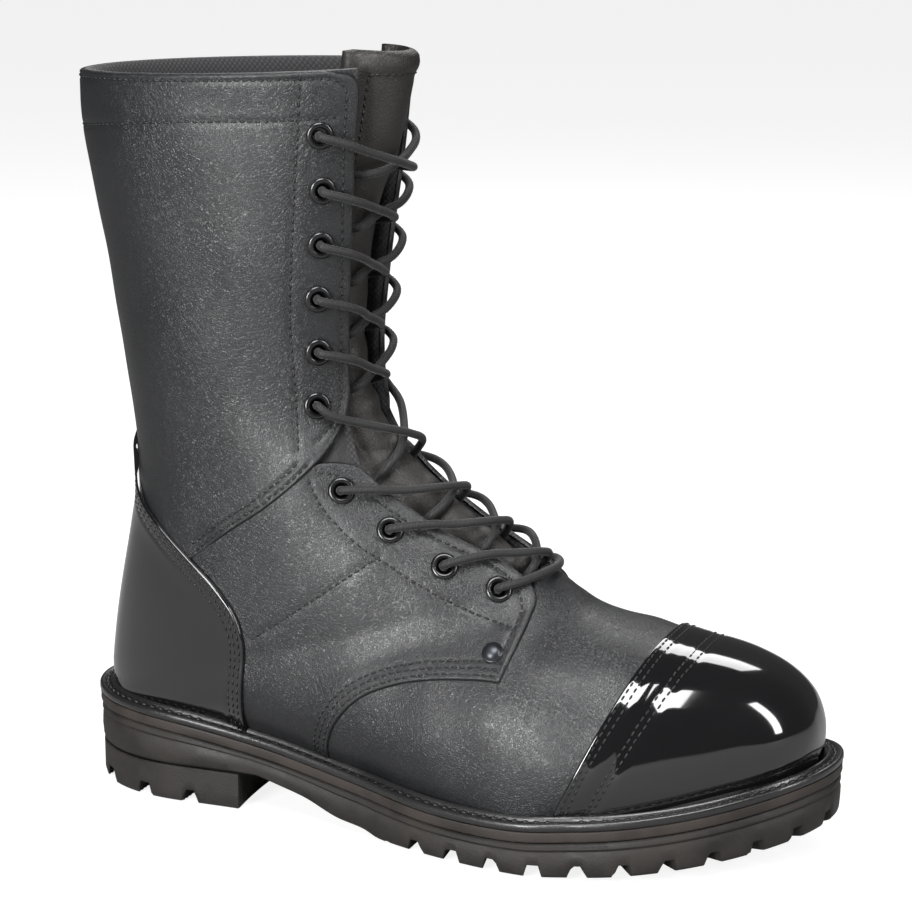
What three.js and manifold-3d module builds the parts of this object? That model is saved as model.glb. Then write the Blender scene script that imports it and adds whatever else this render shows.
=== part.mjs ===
// A right lace-up ten-inch duty boot with a stitched welt and a lugged sole. Millimetres, +Z up, toe to +X.
// Every leather piece is a thick patch of one shared last surface, cut by its seams in the side view.
import * as THREE from "three";
import Module from "manifold-3d";

const wasm = await Module();
wasm.setup();

// ---- driving sizes -------------------------------------------------------------------------------
const SOLE_LENGTH = 310;
const CENTRE_X = SOLE_LENGTH / 2;
const CENTRE_Y = -3.35;
const GAP = 0.4;
const WELT_THICK = 3.2;
const MIDSOLE_THICK = 4.2;
const WELT_WIDTH = 6.5;
const LEATHER = 1.9;
const STAY_TOP = 2.7;
const STAY_BOTTOM = 3.4;
const LINING_TOP = 4.2;
const LINING_BOTTOM = 5.1;
const FACING_HALF_GAP = [
  [0, 24.8], [1, 23.4], [1.65, 21.4], [2.4, 19.2], [3.1, 17.3], [3.9, 16], [4.7, 16.6],
  [5.4, 20], [6.3, 23.4], [7.2, 20.4], [7.8, 18.3], [8.45, 14.8], [9.2, 13.2], [12, 12.8],
];
const LACE_DIAMETER = 3.2;
const LACE_SIDES = 8;
const EYELET_OUTER = 5.2;
const EYELET_HOLE = 2.75;
const EYELET_BARREL = 3.1;

// ---- the last: one section every key, from the rim (0) to the toe tip (23) -----------------------------
// front x, front z, rear x, rear z (negative: on the feather line), half width, front and rear roundness
const FEATHER = -1;
const SECTIONS = [
  [137, 294, 0.4, 289, 44.5, 0.8, 0.92],
  [133, 262, 2, 262, 43.5, 0.8, 0.92],
  [128, 235, 7, 236, 42.0, 0.8, 0.92],
  [124, 208, 12, 210, 40.5, 0.8, 0.92],
  [122, 184, 16, 180, 38.5, 0.8, 0.9],
  [125, 163, 20, 155, 37.5, 0.84, 0.88],
  [137, 145, 22, 130, 37.5, 0.88, 0.84],
  [154, 129, 18, 106, 38.0, 0.9, 0.8],
  [172, 117, 12, 76, 39.0, 0.9, 0.76],
  [188, 108, 8, 48, 39.5, 0.9, 0.74],
  [197, 101, 8, FEATHER, 39.5, 0.9, 0.74],
  [200.5, 98.6, 17, FEATHER, 40.0, 0.9, 0.76],
  [203.5, 96.5, 36, FEATHER, 40.7, 0.9, 0.78],
  [207, 94, 62, FEATHER, 41.5, 0.9, 0.8],
  [214, 89.5, 105, FEATHER, 44.5, 0.9, 0.85],
  [224, 86, 150, FEATHER, 48.5, 0.88, 0.9],
  [234, 84, 195, FEATHER, 50.0, 0.84, 0.9],
  [243, 81.5, 216, FEATHER, 49.5, 0.8, 0.9],
  [256, 79, 238, FEATHER, 46.5, 0.76, 0.9],
  [272, 75.5, 258, FEATHER, 41.0, 0.74, 0.9],
  [286, 70, 274, FEATHER, 34.0, 0.74, 0.9],
  [296, 62, 287, FEATHER, 26.0, 0.76, 0.9],
  [301, 52, 296, FEATHER, 16.0, 0.8, 0.9],
  [302, 42, 301.4, FEATHER, 4.5, 0.9, 0.9],
];
const CAP_KEY = 17;
const REAR_TOP_KEY = 9;

// ---- small curve helpers ------------------------------------------------------------------------
function table(points, x) {
  if (x <= points[0][0]) return points[0][1];
  for (let i = 1; i < points.length; i += 1) {
    if (x <= points[i][0]) {
      const before = points[Math.max(i - 2, 0)];
      const after = points[Math.min(i + 1, points.length - 1)];
      const [x0, y0] = points[i - 1];
      const [x1, y1] = points[i];
      const m0 = ((y1 - before[1]) / (x1 - before[0])) * (x1 - x0);
      const m1 = ((after[1] - y0) / (after[0] - x0)) * (x1 - x0);
      const u = (x - x0) / (x1 - x0);
      const blend = u * u * (3 - 2 * u);
      return y0 * (1 - blend) + y1 * blend + u * (1 - u) * ((1 - u) * m0 - u * m1);
    }
  }
  return points[points.length - 1][1];
}

// Half width of the outsole's outline, and of any line a distance inside it.
const WIDTHS = [[50, 38.6], [87, 37.6], [130, 40.6], [170, 49.3], [205, 54.8], [225, 53.4]];
function half(x, inset) {
  const heel = 50;
  const toe = 225;
  if (x <= heel) {
    const u = Math.min(Math.max((heel - x) / (heel - inset), 0), 1);
    return (WIDTHS[0][1] - inset) * Math.sqrt(1 - u ** 2.2);
  }
  if (x >= toe) {
    const u = Math.min((x - toe) / (SOLE_LENGTH - inset - toe), 1);
    return (53.4 - inset) * Math.sqrt(1 - u ** 2.1);
  }
  return table(WIDTHS, x) - inset;
}

// Sideways lines of the sole's middle and of the upper's ridge.
const SOLE_MIDDLE = [
  [0, 0], [90, -0.6], [130, -3], [170, -5.5], [205, -4.5], [236, -1], [266, 4], [290, 7.5], [310, 9],
];
const RIDGE_MIDDLE = [[0, 0], [110, 0], [150, 1], [200, 0.5], [240, 2.5], [270, 6], [310, 9]];
const WELT_TOP = [
  [0, 39.3], [43, 37.4], [87, 31.4], [130, 24.6], [170, 21], [217, 22.2], [263, 28.4], [310, 39.2],
];
const weltTop = (x) => table(WELT_TOP, x);
const GROUND_RISE = 16;
const TREAD_START = 205;
function ground(x) {
  return GROUND_RISE * Math.max((x - TREAD_START) / (SOLE_LENGTH - TREAD_START), 0) ** 1.8;
}

// ---- the last surface -------------------------------------------------------------------------------
function section(s) {
  if (s < 0) return section(0).map((value, k) => value + (SECTIONS[0][k] - SECTIONS[1][k]) * -s);
  const last = SECTIONS.length - 1;
  const i = Math.min(Math.floor(s), last - 1);
  const u = s - i;
  const row = (k) => {
    const values = SECTIONS[Math.min(Math.max(k, 0), last)].slice();
    if (values[3] === FEATHER) values[3] = weltTop(values[2]) + 0.3;
    return values;
  };
  const [a, b, c, d] = [row(i - 1), row(i), row(i + 1), row(i + 2)];
  const mixed = b.map((value, k) => {
    const m0 = (c[k] - a[k]) / 2;
    const m1 = (d[k] - b[k]) / 2;
    const blend = u * u * (3 - 2 * u);
    return value * (1 - blend) + c[k] * blend + u * (1 - u) * ((1 - u) * m0 - u * m1);
  });
  if (s > REAR_TOP_KEY + 1) mixed[3] = weltTop(mixed[2]) + 0.3;
  if (s > REAR_TOP_KEY && s < REAR_TOP_KEY + 1) mixed[2] = SECTIONS[REAR_TOP_KEY][2];
  return mixed;
}

function foot(s, sec) {
  return s > REAR_TOP_KEY + 1 ? half(sec[2], WELT_WIDTH) : 0;
}

// t runs from the ridge (0) down one side to the feather or the rear line (1).
function last(s, t, side) {
  const sec = section(s);
  const [fx, fz, rx, rz, width, front, rear] = sec;
  const ratio = Math.min(Math.max(foot(s, sec) / width, 0), 0.98);
  const end = Math.PI - Math.asin(ratio ** (1 / rear));
  const angle = Math.abs(t) * end;
  const power = angle < Math.PI / 2 ? front : rear;
  const across = width * Math.abs(Math.sin(angle)) ** power;
  const g = (1 - Math.cos(angle)) / (1 - Math.cos(end));
  const x = fx + (rx - fx) * g;
  const z = fz + (rz - fz) * g;
  const middle = table(RIDGE_MIDDLE, x) * (1 - g) + table(SOLE_MIDDLE, x) * g;
  return new THREE.Vector3(x, middle + side * across, z);
}

function lastNormal(s, t, side) {
  const step = 0.02;
  const top = SECTIONS.length - 1;
  const s0 = s - step;
  const s1 = Math.min(s + step, top);
  const closed = s <= REAR_TOP_KEY + 1;
  const at = (ss, tt) => {
    if (tt < 0) return last(ss, -tt, -side);
    if (tt > 1) return closed ? last(ss, 2 - tt, -side) : last(ss, 1, side);
    return last(ss, tt, side);
  };
  const along = at(s1, t).sub(at(s0, t));
  const t0 = t - step;
  const t1 = t + step;
  const around = at(s, t1).sub(at(s, t0));
  const normal = around.cross(along).normalize();
  return side > 0 ? normal.negate() : normal;
}

function inside(s, t, side, depth) {
  const point = last(s, t, side);
  const normal = lastNormal(s, t, side);
  const middle = point.y;
  point.addScaledVector(normal, -depth);
  if (t >= 1 && s <= REAR_TOP_KEY + 1) point.y = middle;
  return point;
}

// (s, t) of the point of one side that shows at x, z in the side view.
function locate(x, z) {
  let best = null;
  const steps = 1700;
  for (let i = 0; i < steps; i += 1) {
    const s = (i / steps) * CAP_KEY;
    const [fx, fz, rx, rz] = section(s);
    const gap = (x - fx) * (rz - fz) - (z - fz) * (rx - fx);
    const length = Math.hypot(rx - fx, rz - fz);
    if (best === null || Math.abs(gap / length) < best.gap) best = { s, gap: Math.abs(gap / length) };
  }
  const sec = section(best.s);
  const g = Math.min(Math.max((x - sec[0]) / (sec[2] - sec[0]), 0), 1);
  const ratio = Math.min(foot(best.s, sec) / sec[4], 0.98);
  const end = Math.PI - Math.asin(ratio ** (1 / sec[6]));
  return { s: best.s, t: Math.acos(1 - g * (1 - Math.cos(end))) / end };
}

// ---- solids ------------------------------------------------------------------------------------------
function solid(positions, triangles) {
  const flat = new Float32Array(positions.length * 3);
  positions.forEach((p, i) => flat.set([p.x, p.y, p.z], i * 3));
  const tris = new Uint32Array(triangles.flat());
  const mesh = new wasm.Mesh({ numProp: 3, vertProperties: flat, triVerts: tris });
  mesh.merge();
  const made = new wasm.Manifold(mesh);
  if (made.volume() > 0) return made;
  const flipped = new Uint32Array(triangles.map(([a, b, c]) => [a, c, b]).flat());
  const other = new wasm.Mesh({ numProp: 3, vertProperties: flat, triVerts: flipped });
  other.merge();
  return new wasm.Manifold(other);
}

// A closed solid between two grids of the same shape.
function slab(rows, columns, topPoint, bottomPoint) {
  const points = [];
  const triangles = [];
  for (const make of [topPoint, bottomPoint]) {
    for (let i = 0; i <= rows; i += 1) {
      for (let j = 0; j <= columns; j += 1) points.push(make(i / rows, j / columns));
    }
  }
  const width = columns + 1;
  const lower = (rows + 1) * width;
  const quad = (a, b, c, d) => triangles.push([a, b, c], [a, c, d]);
  for (let i = 0; i < rows; i += 1) {
    for (let j = 0; j < columns; j += 1) {
      const a = i * width + j;
      quad(a, a + 1, a + width + 1, a + width);
      quad(lower + a, lower + a + width, lower + a + width + 1, lower + a + 1);
    }
  }
  const rim = [];
  for (let j = 0; j < columns; j += 1) rim.push(j);
  for (let i = 0; i < rows; i += 1) rim.push(i * width + columns);
  for (let j = columns; j > 0; j -= 1) rim.push(rows * width + j);
  for (let i = rows; i > 0; i -= 1) rim.push(i * width);
  rim.forEach((a, k) => {
    const b = rim[(k + 1) % rim.length];
    quad(b, a, lower + a, lower + b);
  });
  return solid(points, triangles);
}

// Part of the last's surface as a thick patch. t from t0(s) to t1.
function patch(s0, s1, t0, t1, rows, columns, top, bottom, side) {
  const at = (depth) => (u, v) => {
    const s = s0 + (s1 - s0) * u;
    const start = typeof t0 === "function" ? t0(s) : t0;
    const share = 0.45 * v + 0.275 * (1 - Math.cos(Math.PI * v));
    return inside(s, start + (t1 - start) * share, side, depth);
  };
  return slab(rows, columns, at(top), at(bottom));
}

// A fore patch that crosses the ridge from one feather to the other.
function saddle(s0, s1, rows, columns, top, bottom) {
  const at = (depth) => (u, v) => {
    const s = s0 + (s1 - s0) * u;
    const t = 2 * v - 1;
    return t < 0 ? inside(s, -t, -1, depth) : inside(s, t, 1, depth);
  };
  return slab(rows, columns, at(top), at(bottom));
}

// A prism along Y over an outline drawn in the side view.
function prism(outline, y0, y1) {
  const shape = new THREE.Shape(outline.map(([x, z]) => new THREE.Vector2(x, z)));
  const geometry = new THREE.ExtrudeGeometry(shape, { depth: y1 - y0, bevelEnabled: false, steps: 1 });
  geometry.rotateX(Math.PI / 2);
  geometry.translate(0, y1, 0);
  return fromGeometry(geometry);
}

function fromGeometry(geometry) {
  const position = geometry.attributes.position;
  const points = [];
  const triangles = [];
  for (let i = 0; i < position.count; i += 1) {
    points.push(new THREE.Vector3().fromBufferAttribute(position, i));
  }
  const index = geometry.index;
  const count = index ? index.count : position.count;
  for (let i = 0; i < count; i += 3) {
    triangles.push([0, 1, 2].map((k) => (index ? index.getX(i + k) : i + k)));
  }
  return solid(points, triangles);
}

// A bent plate of the sole: stations along x, one strip across.
function plate(inset, topZ, bottomZ, from, to) {
  const start = from ?? inset;
  const end = to ?? SOLE_LENGTH - inset;
  const rows = 22;
  const along = (u) => start + ((end - start) * (1 - Math.cos(Math.PI * u))) / 2;
  const at = (height) => (u, v) => {
    const x = along(u);
    const reach = Math.max(half(Math.min(Math.max(x, inset), SOLE_LENGTH - inset), inset), 0.6);
    return new THREE.Vector3(x, table(SOLE_MIDDLE, x) + reach * (2 * v - 1), height(x));
  };
  return slab(rows, 2, at(topZ), at(bottomZ));
}

const group = new THREE.Group();
group.name = "duty_boot";

// The upper stands on the welt: nothing of it reaches below this block.
let weltBlock = null;
const UPPER_GAP = 0.3;

function addUpper(name, manifold, colour) {
  if (weltBlock === null) weltBlock = plate(0, (x) => weltTop(x) + UPPER_GAP, () => -5);
  return add(name, manifold.subtract(weltBlock), colour);
}

function add(name, manifold, colour) {
  const pieces = manifold.decompose();
  let made = pieces[0];
  for (const piece of pieces) {
    if (piece.volume() > made.volume()) made = piece;
  }
  const mesh = made.getMesh();
  const geometry = new THREE.BufferGeometry();
  const stride = mesh.numProp;
  const positions = new Float32Array((mesh.vertProperties.length / stride) * 3);
  for (let i = 0; i < positions.length / 3; i += 1) {
    for (let k = 0; k < 3; k += 1) positions[i * 3 + k] = mesh.vertProperties[i * stride + k];
  }
  geometry.setAttribute("position", new THREE.BufferAttribute(positions, 3));
  geometry.setIndex(Array.from(mesh.triVerts));
  geometry.translate(-CENTRE_X, -CENTRE_Y, 0);
  geometry.computeVertexNormals();
  const material = new THREE.MeshStandardMaterial({ color: colour });
  material.name = name;
  const object = new THREE.Mesh(geometry, material);
  object.name = name;
  group.add(object);
  return object;
}

// ---- sole ----------------------------------------------------------------------------------------
const RUBBER = 0x2a2624;
const BLACK = 0x151515;
const BREAST_X = 78;
const HEEL_TOP = (x) => weltTop(x) - WELT_THICK - MIDSOLE_THICK - 2 * GAP;
const SHANK_DEPTH = 7;

const weltPlate = plate(0, weltTop, (x) => weltTop(x) - WELT_THICK);
const weltHole = plate(WELT_WIDTH + 6, (x) => weltTop(x) + 5, (x) => weltTop(x) - WELT_THICK - 5);
add("welt", weltPlate.subtract(weltHole), BLACK);
const midTop = (x) => weltTop(x) - WELT_THICK - GAP;
add("midsole", plate(0.4, midTop, (x) => midTop(x) - MIDSOLE_THICK), RUBBER);

// The tread line runs under the heel, up the heel breast, over the shank and down to the front lugs.
const SHANK_UNDER = [[86, 15], [96, 12.5], [108, 9.5], [122, 4.5], [135, 2.5], [142, 0.4], [150, 0]];
function under(x) {
  if (x < SHANK_UNDER[0][0]) return SHANK_UNDER[0][1];
  if (x < 150) return table(SHANK_UNDER, x);
  return ground(x);
}
let outsole = plate(1.2, HEEL_TOP, under);
const GROOVE_WIDTH = 4.5;
const GROOVE_DEPTH = 4;
const LUG_PITCH = 17;
const FIRST_GROOVE = 154;
for (let x = FIRST_GROOVE; x < SOLE_LENGTH - 8; x += LUG_PITCH) {
  for (const side of [-1, 1]) {
    const notch = new THREE.BoxGeometry(GROOVE_WIDTH, 40, 2 * GROOVE_DEPTH);
    notch.translate(x + side * 2, table(SOLE_MIDDLE, x) + side * 32, ground(x));
    outsole = outsole.subtract(fromGeometry(notch));
  }
}
add("outsole", outsole, RUBBER);

const blockTop = () => SHANK_UNDER[0][1] - 2 * GAP;
let heelBlock = plate(1.2, blockTop, () => 0, 1.2, BREAST_X);
for (const x of [16, 36, 56]) {
  for (const side of [-1, 1]) {
    const notch = new THREE.BoxGeometry(GROOVE_WIDTH, 34, 2 * GROOVE_DEPTH);
    notch.translate(x, side * 30, 0);
    heelBlock = heelBlock.subtract(fromGeometry(notch));
  }
}
add("heel_block", heelBlock, RUBBER);

// ---- inner bottom ---------------------------------------------------------------------------------------
const INNER_INSET = WELT_WIDTH + LINING_BOTTOM + 1.4;
const fillTop = (x) => weltTop(x) - 1.7;
add("cork_filler", plate(WELT_WIDTH + 6.5, fillTop, (x) => weltTop(x) - WELT_THICK), 0x9a7048);
const SHANK_SPAN = [42, 150];
const SHANK_HALF_WIDTH = 7.5;
const shankTop = (x) => weltTop(x) - 0.1;
const shank = slab(
  16,
  1,
  (u, v) => {
    const x = SHANK_SPAN[0] + (SHANK_SPAN[1] - SHANK_SPAN[0]) * u;
    return new THREE.Vector3(x, -2 + SHANK_HALF_WIDTH * (2 * v - 1), shankTop(x));
  },
  (u, v) => {
    const x = SHANK_SPAN[0] + (SHANK_SPAN[1] - SHANK_SPAN[0]) * u;
    return new THREE.Vector3(x, -2 + SHANK_HALF_WIDTH * (2 * v - 1), shankTop(x) - 1.2);
  },
);
add("shank", shank, 0x8a8d90);
const boardTop = (x) => weltTop(x) + 2.6;
add("insole_board", plate(INNER_INSET + 3.2, boardTop, (x) => weltTop(x) + 0.4), 0xb08a5a);
const bedTop = (x) => weltTop(x) + 7;
add("footbed", plate(INNER_INSET + 4.5, bedTop, (x) => boardTop(x) + GAP), 0x303236);

// ---- seams, drawn in the side view (x, z) --------------------------------------------------------------
const COUNTER_EDGE = [
  [27, 144], [31, 125], [44, 112.4], [57.2, 102.9], [71.2, 92.2],
  [79.7, 82.5], [83.3, 72.4], [83.4, 58], [81.5, 38], [81.2, 20],
];
const SHAFT_SEAM = [
  [36, 84], [58.5, 100.7], [76.7, 114.5], [92.2, 125.3], [102.6, 134.1],
  [108, 139.5], [113.8, 144.4], [117.4, 151.9], [126, 163], [150, 168],
];
const BAND = [
  [230, 69], [191.5, 69], [183, 68.9], [161, 66.4], [146.5, 62.4],
  [134.4, 56.1], [124, 44.8], [118.2, 30.6], [117, 15],
];
const QUARTER_FRONT = [[197, 128], [196, 108], [196.2, 95], [195.8, 87], [191.5, 69]];
const moved = (line, dx, dz) => line.map(([x, z]) => [x + dx, z + dz]);

const shaftZone = [...moved(SHAFT_SEAM, -GAP / 2, GAP), [150, 330], [-40, 330], [-40, 60], [36, 60]];
const counterZone = [[-40, 10], [-40, 152], [24, 152], ...moved(COUNTER_EDGE, -GAP / 2, 0)];
const behindCounter = [[-40, 0], [-40, 152], [24, 152], ...moved(COUNTER_EDGE, GAP, 0), [81.4, 0]];
const quarterZone = [
  ...SHAFT_SEAM.slice(0, 6),
  [112.5, 142],
  [119, 143],
  [127, 142],
  [135, 137.5],
  [150, 129],
  [168, 122],
  [182, 117],
  [194, 112],
  ...QUARTER_FRONT.slice(1),
  ...moved(BAND.slice(2), 0, GAP / 2),
  [36, 10],
];
const vampZone = [
  [360, 10],
  [360, 140],
  [200, 140],
  ...moved(QUARTER_FRONT, GAP, 0),
  ...moved(BAND.slice(2), GAP, -GAP),
];
const THROAT_HALF = 11.2;
const THROAT_X = 192;
const tall = (outline) => prism(outline, -90, 90);
const shaftCut = tall(shaftZone);
const counterCut = tall(counterZone);
const behindCut = tall(behindCounter);
const quarterCut = tall(quarterZone);
const throat = prism([[THROAT_X, 80], [THROAT_X, 140], [215, 140], [215, 80]], -THROAT_HALF, THROAT_HALF);
const vampCut = tall(vampZone).add(throat);

// The lacing gap: t where a side's leather begins.
function facingStart(s) {
  const width = section(s)[4];
  const front = section(s)[5];
  const angle = Math.asin((table(FACING_HALF_GAP, s) / width) ** (1 / front));
  const sec = section(s);
  const ratio = Math.min(foot(s, sec) / sec[4], 0.98);
  const end = Math.PI - Math.asin(ratio ** (1 / sec[6]));
  return angle / end;
}

// ---- eyelets -------------------------------------------------------------------------------------
const UPPER_EYELETS = 6;
const UPPER_FIRST = [115.4, 269.5];
const UPPER_PITCH = 20.8;
const UPPER_LEAN = [0, -0.2, -2, -4, -4.8, -5.2];
const LOWER_EYELETS = [[121.5, 133.8], [140.5, 119.5], [162, 106.8], [182.5, 98.8]];
const eyeletSpots = [];
for (let i = 0; i < UPPER_EYELETS; i += 1) {
  eyeletSpots.push([UPPER_FIRST[0] + UPPER_LEAN[i], UPPER_FIRST[1] - UPPER_PITCH * i]);
}
eyeletSpots.push(...LOWER_EYELETS);

function seat([x, z], side) {
  const { s, t } = locate(x, z);
  return { point: last(s, t, side), normal: lastNormal(s, t, side) };
}

function turned(geometry, place) {
  const turn = new THREE.Quaternion().setFromUnitVectors(new THREE.Vector3(0, 1, 0), place.normal);
  geometry.applyQuaternion(turn);
  geometry.translate(place.point.x, place.point.y, place.point.z);
  return geometry;
}

const ringProfile = [
  [EYELET_HOLE, -LINING_BOTTOM - 0.7],
  [EYELET_OUTER - 1.2, -LINING_BOTTOM - 0.7],
  [EYELET_OUTER - 1.2, -LINING_BOTTOM - 0.3],
  [EYELET_BARREL, -LINING_BOTTOM - 0.3],
  [EYELET_BARREL, 0.35],
  [EYELET_OUTER, 0.35],
  [EYELET_OUTER - 1.1, 1.2],
  [EYELET_HOLE, 0.8],
].map(([r, y]) => new THREE.Vector2(r, y));
ringProfile.push(ringProfile[0].clone());

const SIDES = [["lateral", -1], ["medial", 1]];
const EYELET_SEGMENTS = 8;
const seats = {};
const holes = {};
const liningHoles = {};
function drilled(place, radius) {
  const drill = new THREE.CylinderGeometry(radius, radius, 14, EYELET_SEGMENTS);
  return fromGeometry(turned(drill, place));
}
for (const [label, side] of SIDES) {
  seats[label] = eyeletSpots.map((spot) => seat(spot, side));
  holes[label] = seats[label].map((place) => drilled(place, EYELET_BARREL + 0.3));
  liningHoles[label] = seats[label].map((place) => drilled(place, EYELET_OUTER - 0.4));
  seats[label].forEach((place, i) => {
    const ring = new THREE.LatheGeometry(ringProfile, EYELET_SEGMENTS);
    add(`eyelet_${label}_${i + 1}`, fromGeometry(turned(ring, place)), 0x222222);
  });
}

// ---- leather panels, stays and linings ----------------------------------------------------------------
const RIVET_SPOT = [185.8, 78.5];
const RIVET_RADIUS = 4;
const RIVET_SHANK = 1.4;
const BACKSTAY_ROOM = 3.2;
const counterHalves = [];
const stiffenerHalves = [];
for (const [label, side] of SIDES) {
  const rivetSeat = seat(RIVET_SPOT, side);
  const rivetHole = new THREE.CylinderGeometry(RIVET_SHANK + 0.3, RIVET_SHANK + 0.3, 14, 10);
  const rivetDrill = fromGeometry(turned(rivetHole, rivetSeat));
  const pierced = (made, set) => set[label].reduce((body, hole) => body.subtract(hole), made);

  const skin = patch(0, 16, facingStart, 1, 32, 8, 0, LEATHER, side);
  const panel = skin.subtract(behindCut);
  const rearOutline = [[-60, -10], [-60, 340], [60, 340], [60, -10]];
  const [rearFrom, rearTo] = side < 0 ? [-BACKSTAY_ROOM, 90] : [-90, BACKSTAY_ROOM];
  const trimmedRear = prism(rearOutline, rearFrom, rearTo);
  const shaft = panel.subtract(trimmedRear).intersect(shaftCut);
  addUpper(`shaft_${label}`, pierced(shaft, holes), BLACK);
  const quarter = pierced(panel.intersect(quarterCut).subtract(shaftCut), holes);
  addUpper(`quarter_${label}`, quarter.subtract(rivetDrill), BLACK);
  counterHalves.push(patch(5, 15, 0.3, 1, 20, 8, 0, LEATHER, side).intersect(counterCut));
  stiffenerHalves.push(patch(8, 13.6, 0.62, 1, 12, 5, STAY_TOP, STAY_BOTTOM, side));

  const stayEnd = (s) => facingStart(s) + 0.1;
  const stay = slab(
    18,
    2,
    (u, v) => {
      const s = 0.5 + 9 * u;
      return inside(s, facingStart(s) + 0.01 + (stayEnd(s) - facingStart(s)) * v, side, STAY_TOP);
    },
    (u, v) => {
      const s = 0.5 + 9 * u;
      return inside(s, facingStart(s) + 0.01 + (stayEnd(s) - facingStart(s)) * v, side, STAY_BOTTOM);
    },
  );
  add(`eyelet_stay_${label}`, pierced(stay, holes), 0x26221e);

  const lining = patch(0, 10, facingStart, 0.992, 16, 7, LINING_TOP, LINING_BOTTOM, side);
  addUpper(`lining_${label}`, pierced(lining, liningHoles), 0x3a3a3c);

  const domeProfile = [
    [0, -2.4], [RIVET_SHANK, -2.4], [RIVET_SHANK, 0.35], [RIVET_RADIUS, 0.35], [3.4, 1.6], [2, 2.4], [0, 2.7],
  ];
  const dome = new THREE.LatheGeometry(domeProfile.map(([r, y]) => new THREE.Vector2(r, y)), 12);
  add(`rivet_${label}`, fromGeometry(turned(dome, rivetSeat)), 0x3a3c40);
}
addUpper("heel_counter", counterHalves[0].add(counterHalves[1]), 0x0c0c0c);
addUpper("heel_stiffener", stiffenerHalves[0].add(stiffenerHalves[1]), 0x8c7a60);

// The fore lining and the pieces over the toes.
const vamp = saddle(8.6, CAP_KEY - 0.03, 16, 18, 0, LEATHER).intersect(vampCut);
const rivetHoles = SIDES.map(([, side]) => {
  const drill = new THREE.CylinderGeometry(RIVET_SHANK + 0.3, RIVET_SHANK + 0.3, 14, 10);
  return fromGeometry(turned(drill, seat(RIVET_SPOT, side)));
});
const quarterRoom = tall(moved(quarterZone, 0.2, -0.2)).subtract(throat);
addUpper("vamp", vamp.subtract(quarterRoom).subtract(rivetHoles[0]).subtract(rivetHoles[1]), BLACK);
addUpper("toe_cap", saddle(CAP_KEY + 0.03, 22.9, 10, 18, 0, LEATHER), 0x0c0c0c);
addUpper("toe_puff", saddle(CAP_KEY + 0.5, 22.5, 8, 14, STAY_TOP, STAY_BOTTOM), 0x8c7a60);
const vampLining = saddle(11.3, 22.5, 18, 12, LINING_TOP, LINING_BOTTOM);
addUpper("vamp_lining", vampLining, 0x3a3a3c);

// The backstay closes the rear seam of the shaft.
const backstayHalf = (side) => slab(
  20,
  2,
  (u, v) => inside(6.0 * u, 1 - 0.02 * v, side, 0).setY(side * 2.8 * v),
  (u, v) => inside(6.0 * u, 1 - 0.02 * v, side, LEATHER).setY(side * 2.8 * v),
);
add("backstay", backstayHalf(-1).add(backstayHalf(1)).subtract(counterCut), BLACK);

// ---- tongue: a crowned leaf under the facings, in two leaves that fold at HINGE_Z -----------------------
// Depth of the tongue's face under the last surface at the middle, by section key.
const CROWN = [
  [0, -1], [0.9, 1.5], [1.5, 5], [2.3, 7], [3.2, 6.5], [4, 5],
  [5, 3.6], [6, 3], [8, 3], [9.2, 3.5], [10.8, 4.6],
];
const EDGE_DEPTH = 10.2;
const CROWN_REACH = [
  [0, 22], [1.65, 18], [2.4, 16], [3.1, 14.2], [3.9, 13], [4.7, 13.4],
  [5.4, 16], [6.3, 18], [7.2, 15], [8, 12.5], [9.2, 10.8], [12, 10.5],
];
const TONGUE_THICK = 2.8;
const TONGUE_HALF = [[0, 27], [5, 26], [7, 24], [9, 20], [10.8, 18]];

// A point of one section at a distance y from the boot's middle, any depth under the last surface.
function across(s, y, depth) {
  const sec = section(s);
  const angle = Math.asin(Math.min(Math.abs(y) / sec[4], 0.98) ** (1 / sec[5]));
  const ratio = Math.min(foot(s, sec) / sec[4], 0.98);
  const end = Math.PI - Math.asin(ratio ** (1 / sec[6]));
  return inside(s, angle / end, y < 0 ? -1 : 1, depth);
}
function tongueDepth(s, y) {
  const crown = Math.max(1 - (y / table(CROWN_REACH, s)) ** 2, 0);
  return EDGE_DEPTH - (EDGE_DEPTH - table(CROWN, s)) * crown;
}
function tongueLeaf(s0, s1, rows) {
  const at = (extra) => (u, v) => {
    const s = s0 + (s1 - s0) * u;
    const y = table(TONGUE_HALF, s) * (2 * v - 1);
    return across(s, y, tongueDepth(s, y) + extra);
  };
  return slab(rows, 8, at(0), at(TONGUE_THICK));
}
const HINGE_S = 0.8;
add("tongue_lower", tongueLeaf(HINGE_S + 0.012, 10.7, 22), BLACK);
add("tongue_top", tongueLeaf(-0.15, HINGE_S - 0.012, 5), BLACK);

for (const [label, side] of SIDES) {
  const fold = (extra) => (u, v) => {
    const s = 1.3 + 4.2 * u;
    const start = table(TONGUE_HALF, s) + 0.8;
    const point = across(s, side * (start + 6 * v), 10.4 - 4.2 * v + extra);
    return point;
  };
  add(`gusset_${label}`, slab(10, 2, fold(0), fold(1)), BLACK);
}

// ---- lace: one cord, crossed down both rows, its ends tucked inside the shaft --------------------------
const LACE_LENGTH = 1830;
const LACE_RADIUS = LACE_DIAMETER / 2;
const UNDER_FACING = 8.1;
const spotsST = eyeletSpots.map(([x, z]) => locate(x, z));
const axisPoint = (i, side, depth) => inside(spotsST[i].s, spotsST[i].t, side, depth);

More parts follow.
